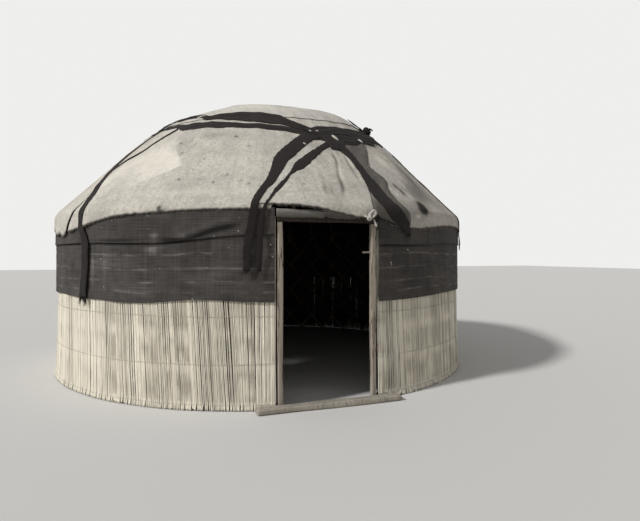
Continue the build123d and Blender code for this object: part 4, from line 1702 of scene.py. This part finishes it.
    def knot(self, form: RoofForm) -> Shape:
        """Knob of knotted strap on the crown's right shoulder: wound loops with uneven thickness.

        Args:
            form: the roof's surface.

        Returns:
            The closed loops.
        """
        middle = form.point(np.array(41.5), form.at_radius(1.355), 0.032)
        turn = circle(36)
        random = np.random.default_rng(61)
        shapes = []
        for k in range(6):
            axes = np.linalg.qr(random.normal(size=(3, 3)))[0]
            size = random.uniform(0.022, 0.036, 2)
            c, s = np.cos(turn)[:, None], np.sin(turn)[:, None]
            loop = middle + c * size[0] * axes[0] + s * size[1] * axes[1]
            shapes.append(rope(loop, 0.017 + 0.003 * np.sin(3 * turn + k), axes[2], 9, looped=True))
        end = flowing([middle, middle + (0.03, -0.02, 0.03), middle + (0.065, -0.03, 0.012)], 12)
        shapes.append(rope(end, np.linspace(0.014, 0.007, 12), np.array([0.3, 1, 0.2]), 8))
        return joined(shapes)


@dataclass
class Crown:
    """The pale cover over the crown."""

    radius: float = 1.30
    thickness: float = 0.0085
    lift: float = 0.0048
    cells: int = 96
    rim: float = 0.012
    # Painted shade along the cover's rim.
    rim_shade: float = 0.35
    doming: float = 0.006
    outline: Ripple = Ripple(0.022, 0.9, 71)
    ragged: Ripple = Ripple(0.006, 0.06, 72)
    bars: Ripple = Ripple(0.006, 0.20, 73)
    # The second spot is painted shade on the cover's right side.
    spots: tuple[Spot, ...] = (
        (-20, 0.9, 0.3, 0.2, 0.4), (30, 0.7, 0.3, 0.3, -0.35), (160, 0.8, 0.4, 0.4, -0.3)
    )

    def cover(self, form: RoofForm) -> Shape:
        """Round felt as one grid.

        A square grid is pressed into a disc, each coordinate times the root of one minus half the square of
        the other, and the disc is laid on the roof by azimuth and distance.

        Args:
            form: the roof's surface.

        Returns:
            The closed cover.
        """
        start, inner = np.array([-1, -0.998, -0.994]), 1 - self.rim
        line = np.concatenate([start, np.linspace(-inner, inner, self.cells), -start[::-1]])
        u, v = np.meshgrid(line, line, indexing="ij")
        x, y = u * np.sqrt(1 - v * v / 2), v * np.sqrt(1 - u * u / 2)
        azimuth, share = np.degrees(np.arctan2(x, -y)), np.hypot(x, y)
        rim = disc(np.radians(azimuth))
        outer = form.at_radius(self.radius) + self.outline.at(rim) + self.ragged.at(rim)
        run = share * outer
        bars = self.bars.at(spot(azimuth, run, 0 * run)) * bell(run, 0.75)
        thickness = self.thickness * quarter((1 - np.maximum(abs(u), abs(v))) / self.rim)
        # Painted shade along the rim.
        tone = form.marks(azimuth, run, self.spots) - self.rim_shade * bell(outer - run, 0.014)
        cut = np.stack([x, y], -1) * self.radius
        lift = self.lift + bars + self.doming * bell(run, 0.5)
        return shell(form.point(azimuth, run, lift), thickness, cut, tone)

    def lay(self, form: RoofForm, material: Material) -> None:
        """Lays the cover over the ribs.

        Args:
            form: the roof's surface.
            material: its finish.
        """
        piece = lay("crown_cover_felt", self.cover(form), material, ["crown_cover"])


@dataclass
class WallCloth:
    """Dark wool cloth round the upper half of the wall, with a second strip lapped over its top."""

    radius: float = 2.3320
    lap_radius: float = 2.3395
    thickness: float = 0.005
    top: float = 1.615
    first: float = 11.2
    count: int = 4
    joint: float = 0.06
    step: float = 0.026
    seen_step: float = 0.014
    hem_height: float = 0.858
    lap_height: float = 1.345
    slack: Ripple = Ripple(0.0034, 0.30, 5)
    hem: Line = (
        (-80, 0.865), (-65, 0.867), (-58, 0.859), (-50, 0.850), (-44, 0.844), (-39, 0.843), (-34, 0.857),
        (-28, 0.878), (-23, 0.876), (-17, 0.864), (-11, 0.858)
    )
    lap: Line = (
        (-80, 1.335), (-55, 1.342), (-47, 1.338), (-41, 1.335), (-35, 1.333), (-30, 1.348), (-26, 1.363),
        (-21, 1.379), (-17, 1.394), (-11, 1.40)
    )
    # Pale worn blotches where the amount is above 0; the last two, below 0, are painted shade along the lap
    # line.
    blotches_and_shade: tuple[Spot, ...] = (
        (-35.6, 1.375, 0.05, 0.05, 0.7), (-36.2, 1.27, 0.06, 0.035, 0.8), (-50, 1.17, 0.3, 0.06, 0.35),
        (-22, 1.05, 0.2, 0.1, 0.3), (-41, 0.95, 0.3, 0.06, 0.3), (-29.5, 1.385, 0.05, 0.02, 0.6),
        (-53, 1.10, 0.03, 0.22, 0.35), (-49, 1.05, 0.02, 0.25, 0.3), (-38, 1.12, 0.02, 0.15, 0.3),
        (-45, 1.360, 0.34, 0.020, -0.8), (-32.0, 1.357, 0.12, 0.024, -0.9)
    )

    def edge_line(self, pairs: Line, azimuth: Array, mean: float, seed: int) -> Array:
        """Height of a lower edge: through points on the left front, and waving about a mean elsewhere.

        Args:
            pairs: (azimuth, height) points of the left front.
            azimuth: azimuths in degrees.
            mean: its mean height.
            seed: start of its random unevenness.

        Returns:
            The heights.
        """
        ring = disc(azimuth * np.pi / 180) * self.radius
        wave = mean + Ripple(0.012, 1.6, seed).at(ring)
        seen = ease((azimuth + 88) / 10) * (azimuth < 0)
        return seen * level(list(pairs), azimuth) + (1 - seen) * wave + Ripple(0.002, 0.07, seed + 1).at(ring)

    def strip(self, first: float, last: float, low: tuple[Line, float], radius: float, seed: int) -> Shape:
        """Hanging strip: rows run round the wall, columns up from its lower edge to its top.

        A slanting fold is a bell-shaped ridge over a furrow, with a painted highlight on the ridge and
        painted shade in the furrow.

        Args:
            first: azimuth of its start.
            last: azimuth of its end.
            low: points and mean height of its lower edge.
            radius: radius of its middle.
            seed: start of its random unevenness.

        Returns:
            The closed strip.
        """
        step = self.seen_step if first < 0 else self.step
        rows = spaced(np.radians(last - first) * radius, step, self.thickness)
        cols = spaced(self.top - low[1], step, self.thickness)
        azimuth = (first + np.degrees(rows / radius))[:, None] * np.ones(len(cols))
        bottom = self.edge_line(low[0], azimuth, low[1], seed)
        height = bottom + cols / cols[-1] * (self.top - bottom)
        wall = spot(azimuth, np.full(azimuth.shape, radius), height)
        drawn = wall * np.array([1, 1, 0.45])
        slack = ease((1.60 - height) / 0.25)
        out = slack * (0.0030 + self.slack.at(drawn)) + Ripple(0.0009, 0.07, seed + 8).at(wall)
        out = out + 0.006 * bell(height - bottom, 0.03) * (0.5 + Ripple(0.8, 0.4, seed + 9).at(drawn))
        tone = sum(
            amount * np.exp(-((np.radians(azimuth - a) * radius / w) ** 2) - ((height - z) / h) ** 2)
            for a, z, w, h, amount in self.blotches_and_shade
        )
        if radius > self.radius:
            # Each fold: painted highlight on its ridge, painted shade in its furrow.
            for fold, wide, dark in self.folds():
                off = 0.85 * (height - level(fold, azimuth))
                inside = ease((azimuth - fold[0][0]) / 3) * ease((fold[-1][0] - azimuth) / 5)
                out = out + inside * (0.008 * bell(off - 1.4 * wide, 1.2 * wide) - 0.002 * bell(off, wide))
                tone = tone + inside * (0.2 * bell(off - 1.8 * wide, wide) - dark * bell(off, wide))
        else:
            # Painted shadow under the lapped strip's edge, fainter towards the doorway.
            under = height - self.edge_line(self.lap, azimuth, self.lap_height, seed)
            seen = 1 - 0.55 * ease((azimuth + 31) / 4) * (azimuth < 0)
            tone = tone - seen * bell(under + 0.006, 0.013) + 0.15 * bell(under + 0.032, 0.010)
        cut = np.stack([np.radians(azimuth) * radius, height], -1)
        middle = spot(azimuth, radius + out, height)
        return shell(middle, self.thickness * swell(rows, cols, self.thickness), cut, tone)

    def folds(self) -> list[tuple[Edges, float, float]]:
        """Slanting folds of the lapped strip: (azimuth, height) line, half width and painted shade's
        strength.
        """
        return [
            (
                [
                    (-34.0, 1.334), (-30.3, 1.337), (-28.2, 1.356), (-26.0, 1.390), (-24.0, 1.422),
                    (-21.3, 1.450), (-16.0, 1.49)
                ],
                0.024, 1.0
            ),
            ([(-33.0, 1.334), (-30.3, 1.330), (-26.7, 1.350), (-23.3, 1.372), (-15.0, 1.402)], 0.006, 0.55)
        ]

    def lay(self, material: Material) -> None:
        """Hangs the cloths and their lapped strips.

        Args:
            material: its finish.
        """
        size = (360 - 2 * self.first) / self.count
        for index in range(self.count):
            first = self.first + size * index - (360 if index == self.count - 1 else 0)
            node = f"wall_cloth_{index + 1}"
            strips = (
                (f"wool_cloth_{index + 1}", (self.hem, self.hem_height), self.radius, [node]),
                (f"wool_lap_{index + 1}", (self.lap, self.lap_height), self.lap_radius, [])
            )
            for name, low, radius, nodes in strips:
                start, end = first + self.joint, first + size - self.joint
                shape = self.strip(start, end, low, radius, 300 + 17 * index)
                piece = lay(name, shape, material, nodes)


@dataclass
class ReedWall:
    """Upright reeds bound side by side with rows of twine, in screens that stand on the ground."""

    screens: int = 5
    radius: float = 2.3165
    flare: float = 0.027
    flare_top: float = 0.88
    thin: float = 0.0040
    thick: float = 0.0055
    gap_share: float = 0.20
    gaps: tuple[float, float] = (0.0022, 0.0055)
    overlap: float = 0.0012
    seen: float = 80.0
    rows: tuple[float, ...] = (0.046, 0.365, 0.745)
    fleck_heights: tuple[float, float] = (0.61, 0.335)
    levels: tuple[float, ...] = (
        0, 0.02, 0.055, 0.08, 0.14, 0.21, 0.28, 0.335, 0.40, 0.48, 0.55, 0.61, 0.68, 0.78, 0.90, 1.0
    )
    hidden_levels: tuple[float, ...] = (0, 0.03, 0.08, 0.20, 0.40, 0.61, 0.80, 1.2, 1.0)
    sides: int = 6
    first: float = 11.15
    drift: float = 0.016
    left_lean: float = 0.060
    bulge: Ripple = Ripple(0.0035, 0.55, 401)
    shade: Ripple = Ripple(0.22, 0.16, 431)
    mottle: Ripple = Ripple(0.22, 0.30, 433)
    fleck: Ripple = Ripple(0.16, 0.07, 437)
    tone: tuple[float, float] = (0.60, 0.27)
    twine: float = 0.0017
    twine_step: float = 0.012
    twine_tone: float = 0.35

    def middle(self, azimuth: Array, height: Array) -> Array:
        """Radius of the stems' middle: upright above, flaring to the foot, with bulges below the cloth.

        Args:
            azimuth: azimuths in degrees.
            height: heights.

        Returns:
            The radii.
        """
        place = spot(azimuth, np.full(np.shape(azimuth), self.radius), height)
        loose = ease((self.flare_top - height) / 0.2)
        bulge = self.bulge.at(place) * loose + 0.002 * loose
        foot = 0.007 * bell(height, 0.035)
        return self.radius + self.flare * np.clip(1 - height / self.flare_top, 0, 1) ** 1.4 + bulge + foot

    def lean(self, azimuth: Array) -> Array:
        """Sideways drift per metre of height: strongest on the left front, none at the doorway.

        Args:
            azimuth: azimuths in degrees.

        Returns:
            Metres of drift for each metre of height.
        """
        front = bell(turned(azimuth) + 36, 38) * self.left_lean
        door = ease((np.abs(turned(azimuth)) - self.first) / 9)
        return -(self.drift + front) * door

    def rows_of_twine(self, first: float, arc: float, seed: int) -> list[Shape]:
        """Thin ropes before the stems, each at its row's height with two waves: one random, one even.

        Args:
            first: azimuth of its start.
            arc: length of the screen along the wall.
            seed: start of its random unevenness.

        Returns:
            One closed rope for each row.
        """
        run = np.arange(0, arc, self.twine_step)
        azimuth = first + np.degrees(run / self.radius)
        ropes = []
        for k, row in enumerate(self.rows):
            z = row + Ripple(0.004, 0.7, seed + 20 + k).line(run) + 0.0015 * np.sin(2 * np.pi * run / 0.031)
            r = self.middle(azimuth, z) + self.thick + 0.0012
            ropes.append(rope(spot(azimuth, r, z), self.twine, UP, 5))
            ropes[-1].tone = ropes[-1].tone + self.twine_tone
        return ropes

    def screen(self, first: float, last: float, top: float, seed: int) -> tuple[Shape, int]:
        """One screen of stems with its twine, and how many stems it has.

        A stem is a six-sided tube: each ring is its middle plus the stem's radius round a level circle, with
        corners towards the neighbours. Stem places are the running sum of their widths, with a gap after
        some of them on the front. Each ring's tone is its stem's, mottled, with pale flecks at two heights,
        a pale foot, and painted sunlight that brightens the stems on the left front.

        Args:
            first: azimuth of its start.
            last: azimuth of its end.
            top: height of its top.
            seed: start of its random unevenness.

        Returns:
            The closed screen and its number of stems.
        """
        random = np.random.default_rng(seed)
        arc = np.radians(last - first) * self.radius
        count = int(arc / (self.thin + self.thick - self.overlap)) + 8
        size = random.uniform(self.thin, self.thick, count)
        front = np.abs(np.linspace(first, last, count)) < self.seen
        open_after = front & (random.random(count) < self.gap_share)
        gap = np.where(open_after, random.uniform(*self.gaps, count), -self.overlap)
        place = np.cumsum(2 * size + gap) - size - gap
        count = int((place < arc - self.thin).sum())
        size, front, place = size[:count], front[:count], place[:count]
        place *= arc / (place[-1] + size[-1])
        start = first + np.degrees(place / self.radius)
        levels = np.array(self.levels if front.mean() > 0.5 else self.hidden_levels)
        low = 0.001 + np.abs(random.normal(0, 0.006, count)) * front
        high = top - np.abs(random.normal(0, 0.006, count))
        height = np.clip(levels[None, :-1], low[:, None], None) + 0 * low[:, None]
        height = np.concatenate([height, high[:, None]], 1)
        height[:, 0] = low
        height[:, 1] = np.maximum(height[:, 1], low + 0.006)
        lean = self.lean(start) + random.normal(0, 1, count) * np.where(front, 0.0022, 0.0006)
        own = np.stack([place[:, None] * 40 + 0 * height, height, 0 * height], -1)
        waver = Ripple(0.0016, 0.5, seed + 1).at(own) * np.where(front, 1.0, 0.1)[:, None]
        splay = random.normal(0, 1, (count, 1)) * np.where(front, 0.004, 0.001)[:, None] * bell(height, 0.05)
        azimuth = start[:, None] + np.degrees((lean[:, None] * (height - 0.05) + waver + splay) / self.radius)
        out = self.middle(azimuth, height) + random.normal(0, 0.0011, (count, 1)) + np.abs(splay) * 0.8
        ring = disc(circle(self.sides) + np.radians(start)[:, None])[:, None]
        rings = spot(azimuth, out, height)[:, :, None] + size[:, None, None, None] * ring
        # The bell round azimuth -74 is painted sunlight that brightens the screens on the left front.
        broad = self.shade.line(place + np.radians(first) * self.radius) + 0.55 * bell(start + 74, 24)
        off_fleck = height[:, None] - np.array(self.fleck_heights)[:, None]
        fleck = random.uniform(0, 0.5, (count, 2, 1)) * bell(off_fleck, 0.035)
        mottle = self.mottle.at(spot(azimuth, out, 1.6 * height)) + self.fleck.at(rings[:, :, 0])
        tone = random.normal(*self.tone, (count, 1)) + broad[:, None] + mottle + fleck.sum(1)
        tone = tone + 0.7 * ease((0.075 - height) / 0.03)
        stems = tubes(rings, tone=np.clip(tone, 0, 1))
        return joined([stems, *self.rows_of_twine(first, arc, seed)]), count

    def lay(self, material: Material) -> None:
        """Stands the screens round the wall.

        Args:
            material: its finish.
        """
        size = (360 - 2 * self.first) / self.screens
        total = 0
        for index in range(self.screens):
            first = self.first + size * index - (360 if index == self.screens - 1 else 0)
            node = f"reed_screen_{index + 1}"
            shape, count = self.screen(first, first + size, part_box(node)[1].z, 400 + 31 * index)
            lay(f"reeds_{index + 1}", shape, material, [node])
            total += count
        log.info("%d reeds", total)


@dataclass
class DoorSet:
    """Timbers of the doorway, the rolled flap under the door felt, and the tied knot at its corner."""

    round_power: float = 7.0
    sides: int = 28
    step: float = 0.03
    rim: float = 0.006
    lean: float = 0.008
    foot: float = 0.003
    peg: float = 1.262
    flap_over: float = 0.09
    flap_place: tuple[float, float, float] = (-2.3195, 1.537, 1.605)
    flap_thick: float = 0.005
    flap_bend: float = 0.0065
    knot_at: tuple[float, float, float] = (0.350, -2.392, 1.573)
    tie_at: tuple[float, float, float] = (0.397, -2.386, 1.545)

    def timber(
        self, start: tuple, end: tuple, across: tuple, size: tuple[float, float], seed: int,
        uneven: float = 0.0022
    ) -> Shape:
        """Hewn timber: rings of a rounded rectangle from start to end.

        A ring point is half the size times the cosine and sine of its turn, each divided by the root that
        makes the sum of their powers one.

        Args:
            start: middle of one end.
            end: middle of the other end.
            across: direction of its first size.
            size: its two sizes across.
            seed: start of its random unevenness.
            uneven: how deep it is hewn.

        Returns:
            The closed timber.
        """
        start, end, across = (np.asarray(v, float) for v in (start, end, across))
        way = (end - start) / np.linalg.norm(end - start)
        along = spaced(float(np.linalg.norm(end - start)), self.step, self.rim)
        deep = np.cross(way, across)
        turn = circle(self.sides) + np.pi / self.sides
        c, s = np.cos(turn), np.sin(turn)
        norm = (np.abs(c) ** self.round_power + np.abs(s) ** self.round_power) ** (-1 / self.round_power)
        near = np.minimum(along, along[-1] - along)
        shrink = 1 - 0.10 * (1 - np.clip(near / self.rim, 0, 1)) ** 2
        offset = (c * norm)[:, None] * across * size[0] / 2 + (s * norm)[:, None] * deep * size[1] / 2
        rings = start + along[:, None, None] * way + shrink[:, None, None] * offset
        flat = rings * (1 - 0.85 * np.abs(way))
        rough = Ripple(uneven, 0.09, seed).at(flat) + Ripple(uneven, 0.4, seed + 1).at(rings)
        outward = offset / np.linalg.norm(offset, axis=1, keepdims=True)
        rings = rings + (rough - uneven)[..., None] * outward
        rings[..., 2] = np.maximum(rings[..., 2], 0.001)
        return tubes(rings[None])

    def strip(self, first: float, last: float, front: float, low: float, high: float) -> tuple[Shape, float]:
        """Doubled felt strip that hangs behind the door felt's edge.

        Its section is two upright legs joined by half a circle below.

        Args:
            first: x of its left end.
            last: x of its right end.
            front: y of its middle.
            low: height of its fold.
            high: height of its upper edges.

        Returns:
            The strip and its unfolded width.
        """
        thick, bend = self.flap_thick, self.flap_bend
        leg = np.linspace(0, 1, 9)[:-1]
        turn = np.linspace(0, np.pi, 13)
        back = np.stack([bend + 0 * leg, high + leg * (low + bend - high)], -1)
        round_part = np.stack([bend * np.cos(turn), low + bend - bend * np.sin(turn)], -1)
        front_leg = np.stack([-bend + 0 * leg, low + bend + (leg + 1 / 8) * (high - 0.012 - low - bend)], -1)
        section = np.vstack([back, round_part, front_leg])
        girth = np.concatenate([[0], np.linalg.norm(np.diff(section, axis=0), axis=1).cumsum()])
        along = spaced(last - first, 0.010, thick)
        wave = Ripple(0.004, 0.16, 81).line(along)[:, None]
        notch = 0.012 * bell(along - 0.62 * along[-1], 0.012)[:, None]
        low_share = np.clip((high - section[:, 1]) / (high - low), 0, 1)
        y = front + section[:, 0] + 0.3 * wave * low_share
        z = section[:, 1] + (wave + notch) * low_share
        middle = np.stack([first + along[:, None] + 0 * y, y, z], -1)
        cut = np.stack(np.broadcast_arrays(along[:, None], girth), -1)
        # Painted shade: the whole strip darker, and darker still towards its fold below.
        tone = -0.5 - 0.4 * low_share + 0 * y
        return shell(middle, thick * swell(along, girth, thick / 2), cut, tone), float(girth[-1])

    def knot(self) -> Shape:
        """Twisted felt tie at the corner of the door felt: an open loop, a wound neck and loose ends.

        Returns:
            The closed loops and ends.
        """
        middle = np.array(self.knot_at)
        turn = circle(34)
        random = np.random.default_rng(85)
        loop = middle + np.stack(
            [0.026 * np.cos(turn), 0.004 * np.sin(3 * turn), 0.030 * np.sin(turn + 0.5)], -1
        )
        shapes = [rope(loop, 0.0115 + 0.003 * np.sin(2 * turn + 1), OUTWARD, 10, looped=True)]
        neck = middle + (-0.026, 0.004, -0.034)
        for k, (wide, high) in enumerate(((0.016, 0.012), (0.012, 0.018))):
            tilt = random.normal(0, 0.35, 3)
            x, z = wide * np.cos(turn), high * np.sin(turn)
            ring = neck + np.stack([x, tilt[0] * x + tilt[1] * z, z + 0.004 * k], -1)
            shapes.append(rope(ring, 0.0080 + 0.0015 * np.sin(2 * turn + k), OUTWARD, 9, looped=True))
        ends = [
            ((0.012, 0.0, -0.040), (0.026, 0.0, -0.075), (0.038, -0.004, -0.102)),
            ((-0.030, 0.006, -0.036), (-0.050, 0.01, -0.020), (-0.066, 0.02, -0.012))
        ]
        for way in ends:
            path = flowing([middle + point for point in way], 9)
            shapes.append(rope(path, np.array([5, 6, 7, 7.5, 8, 9, 10, 9, 5]) / 1000, ASIDE, 8))
        return joined(shapes)

    def dark_tie(self) -> Shape:
        """Dark wool tie beside the knot: two wound loops and an end that hangs over the jamb.

        Returns:
            The closed loops and end.
        """
        middle = np.array(self.tie_at)
        turn = circle(30)
        shapes = []
        for k, (wide, high) in enumerate(((0.020, 0.014), (0.013, 0.021))):
            x, z = wide * np.cos(turn), high * np.sin(turn)
            ring = middle + np.stack([x, 0.3 * x - 0.2 * z + 0.004 * k, z], -1)
            shapes.append(rope(ring, 0.0100 + 0.002 * np.sin(2 * turn + k), OUTWARD, 9, looped=True))
        path = flowing([middle, middle + (0.010, 0.0, -0.05), middle + (0.004, 0.012, -0.10)], 10)
        shapes.append(rope(path, np.linspace(0.010, 0.005, 10), ASIDE, 8))
        return joined(shapes)

    def lay(self, wood: Material, smoked: Material, felt: Material) -> None:
        """Puts up the doorway.

        Args:
            wood: finish of the bare timbers.
            smoked: finish of the lintel, near black: hearth blackening and painted shade.
            felt: finish of the flap and the knot.
        """
        names = ("door_jamb_left", "door_jamb_right", "door_lintel", "threshold", "door_flap")
        left, right, lintel, sill, flap = (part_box(name) for name in names)
        size = (left[1].x - left[0].x, left[1].y - left[0].y)
        across, top, mid_y = (1.0, 0.0, 0.0), left[1].z, (left[0].y + left[1].y) / 2
        foot = (left[0].x + left[1].x) / 2
        post = self.timber((foot, mid_y, self.foot), (foot, mid_y, top), across, size, 501)
        lay("left_jamb", post, wood, ["door_jamb_left"])
        foot = right[1].x - size[0] / 2
        head = foot - self.lean
        post = self.timber((foot, mid_y, self.foot), (head, mid_y, top), across, size, 511)
        peg_at = head + (foot - head) * (1 - self.peg / top) - size[0] / 2
        peg = self.timber(
            (peg_at + 0.03, mid_y, self.peg), (peg_at - 0.068, mid_y - 0.004, self.peg - 0.004), (0, 1, 0),
            (0.017, 0.016), 515, 0.0008
        )
        lay("right_jamb", joined([post, peg]), wood, ["door_jamb_right"])
        for name, node, box, finish, seed, uneven in (
            # The lintel's near black finish is hearth blackening and painted shade.
            ("lintel_beam", "door_lintel", lintel, smoked, 521, 0.0022),
            ("threshold_log", "threshold", sill, wood, 531, 0.004)
        ):
            y, z = (box[0].y + box[1].y) / 2, (box[0].z + box[1].z) / 2 + 0.001
            beam = self.timber(
                (box[0].x, y, z), (box[1].x, y, z), (0, 1, 0), (box[1].y - box[0].y, box[1].z - box[0].z),
                seed, uneven
            )
            lay(name, beam, finish, [node])
        shape, unfolded = self.strip(flap[0].x - self.flap_over, flap[1].x, *self.flap_place)
        piece = lay("rolled_flap", shape, felt, ["door_flap"])
        lay("tied_knot", self.knot(), felt, ["felt_knot"])


@dataclass
class Studio:
    """Camera at the photograph's place, soft key light from the left, pale floor and backdrop."""

    place: tuple[float, float, float] = (-1.405, -6.086, 1.237)
    pan: float = -19.29
    pitch: float = -0.65
    lens: float = 27.56
    sensor: float = 36.0
    key_azimuth: float = -76.0
    key_height: float = 38.0
    key_strength: float = 2.8
    key_spread: float = 6.0
    fill: float = 0.32
    backdrop: Colour = (0.86, 0.86, 0.85)
    floor_half: float = 40.0
    floor_height: float = -0.001
    floor_rough: float = 0.9
    floor_colour: Colour = (0.62, 0.61, 0.59)

    def camera(self) -> None:
        """Sets the camera."""
        data = bpy.data.cameras.new("camera")
        data.lens, data.sensor_width = self.lens, self.sensor
        camera = put("camera", data)
        camera.location = self.place
        camera.rotation_euler = np.radians([90 + self.pitch, 0, self.pan]).tolist()
        bpy.context.scene.camera = camera

    def light(self) -> None:
        """Sets one soft sun and a pale sky that the camera sees as a plain backdrop."""
        data = bpy.data.lights.new("key", "SUN")
        data.energy, data.angle = self.key_strength, np.radians(self.key_spread)
        put("key", data).rotation_euler = np.radians([90 - self.key_height, 0, self.key_azimuth]).tolist()
        world = bpy.data.worlds.new("sky")
        world.use_nodes = True
        bpy.context.scene.world = world
        tree = Tree(world.node_tree)
        seen = tree.add("ShaderNodeLightPath").outputs
        mirrored = tree.sums("MAXIMUM", seen["Is Glossy Ray"], seen["Is Transmission Ray"])
        direct = tree.sums("MAXIMUM", seen["Is Camera Ray"], mirrored)
        soft = tree.blend(direct, tint((self.fill,) * 3), tint(self.backdrop))
        world.node_tree.links.new(soft, world.node_tree.nodes["Background"].inputs["Color"])

    def floor(self) -> None:
        """Lays a wide pale floor just under the tent."""
        mesh = bpy.data.meshes.new("floor")
        corner = self.floor_half * np.array([(-1, -1), (1, -1), (1, 1), (-1, 1)])
        mesh.from_pydata(np.column_stack([corner, np.full(4, self.floor_height)]), [], [(0, 1, 2, 3)])
        material = bpy.data.materials.new("floor")
        material.use_nodes = True
        shader = material.node_tree.nodes["Principled BSDF"]
        shader.inputs["Base Color"].default_value = tint(self.floor_colour)
        shader.inputs["Roughness"].default_value = self.floor_rough
        mesh.materials.append(material)
        put("floor", mesh)


def dress_frame(material: Material, starts: tuple[str, ...]) -> None:
    """Gives every CAD node whose name has one of the starts a material.

    Args:
        material: its finish.
        starts: how the names of its nodes start.
    """
    for name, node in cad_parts.items():
        if name.startswith(starts):
            node.data.materials.clear()
            node.data.materials.append(material)


def pole_azimuths() -> list[float]:
    """Azimuths of the roof poles, worked out from the door's width and the lattice's even heads.

    Returns:
        Degrees in order round the roof, with the first pole again at the end.
    """
    half = np.degrees(np.arcsin(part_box("door_jamb_left")[0].x / -WALL_RADIUS))
    column = (360 - 2 * half) / HEADS
    door = [2 * half / 3 * (i - 1) for i in range(3)]
    heads = [half + column * (i + 0.5) for i in range(HEADS)]
    return sorted(door + heads) + [door[0] + 360]


def corners(bounds: object) -> list[list[float]]:
    """Lowest and highest corner as plain lists."""
    return [[float(value) for value in corner] for corner in bounds]


def main() -> None:
    """Builds the tent in order, from the wall up to the crown."""
    logging.basicConfig(level=logging.INFO, format="%(name)s %(message)s")
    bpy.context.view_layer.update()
    bpy.context.scene.view_settings.view_transform = "Standard"
    finishes = (
        # smoked=True: faces turned towards the room get hearth blackening and painted shade.
        FeltFinish("roof_felt_finish", 0.95, smoked=True),
        FeltFinish(
            "cover_felt_finish", 0.95, smoked=True, pale=(0.72, 0.68, 0.605), grey=(0.46, 0.43, 0.385)
        ),
        FeltFinish("flap_felt_finish", 0.95, pale=(0.68, 0.64, 0.57), grey=(0.40, 0.375, 0.33), speck=0.2),
        FeltFinish("soft_band_finish", 0.95, pale=(0.17, 0.155, 0.135), grey=(0.10, 0.09, 0.08)),
        WoolFinish("dark_wool_finish", 0.92), StrapFinish("woven_strap_finish", 0.9),
        ReedFinish("reed_finish", 0.62), TimberFinish("bare_wood_finish", 0.8),
        TimberFinish(
            "smoked_wood_finish", 0.6, light=(0.20, 0.125, 0.075), dark=(0.075, 0.045, 0.03),
            drawn=(0.35, 0.35, 0.35)
        ),
        # Near black lintel finish: hearth blackening and painted shade.
        TimberFinish("lintel_black_and_shade_finish", 0.75, light=(0.050, 0.036, 0.027), dark=(0.022, 0.016, 0.012))
    )
    effects = Effects()
    felt, cover, flap, soft, wool, strap, reed, bare, smoked, lintel_black_and_shade = (f.make(effects) for f in finishes)
    dress_frame(smoked, ("lattice", "roof_poles", "crown_r"))
    form = RoofForm(poles=pole_azimuths())
    ReedWall().lay(reed)
    WallCloth().lay(wool)
    panels = RoofFelts().panels()
    for panel in panels:
        panel.lay(form, felt)
    Crown().lay(form, cover)
    lay("hem_fibres", joined([panel.fibres(form) for panel in panels]), felt, [])
    straps, doorway = Straps(), DoorSet()
    for band in straps.bands():
        band.lay(form, strap)
    straps.soft_band().lay(form, soft)
    straps.pale_strip().lay(form, flap, "roof_felt")
    lay("strap_tangle", straps.tangle(form), strap, [])
    lay("strap_knob", joined([straps.knot(form), doorway.dark_tie()]), strap, [])
    lay("pale_ties", straps.ties(form), flap, [])
    doorway.lay(bare, lintel_black_and_shade, flap)
    studio = Studio()
    studio.camera()
    studio.light()
    studio.floor()


if __name__ == "__main__":
    main()
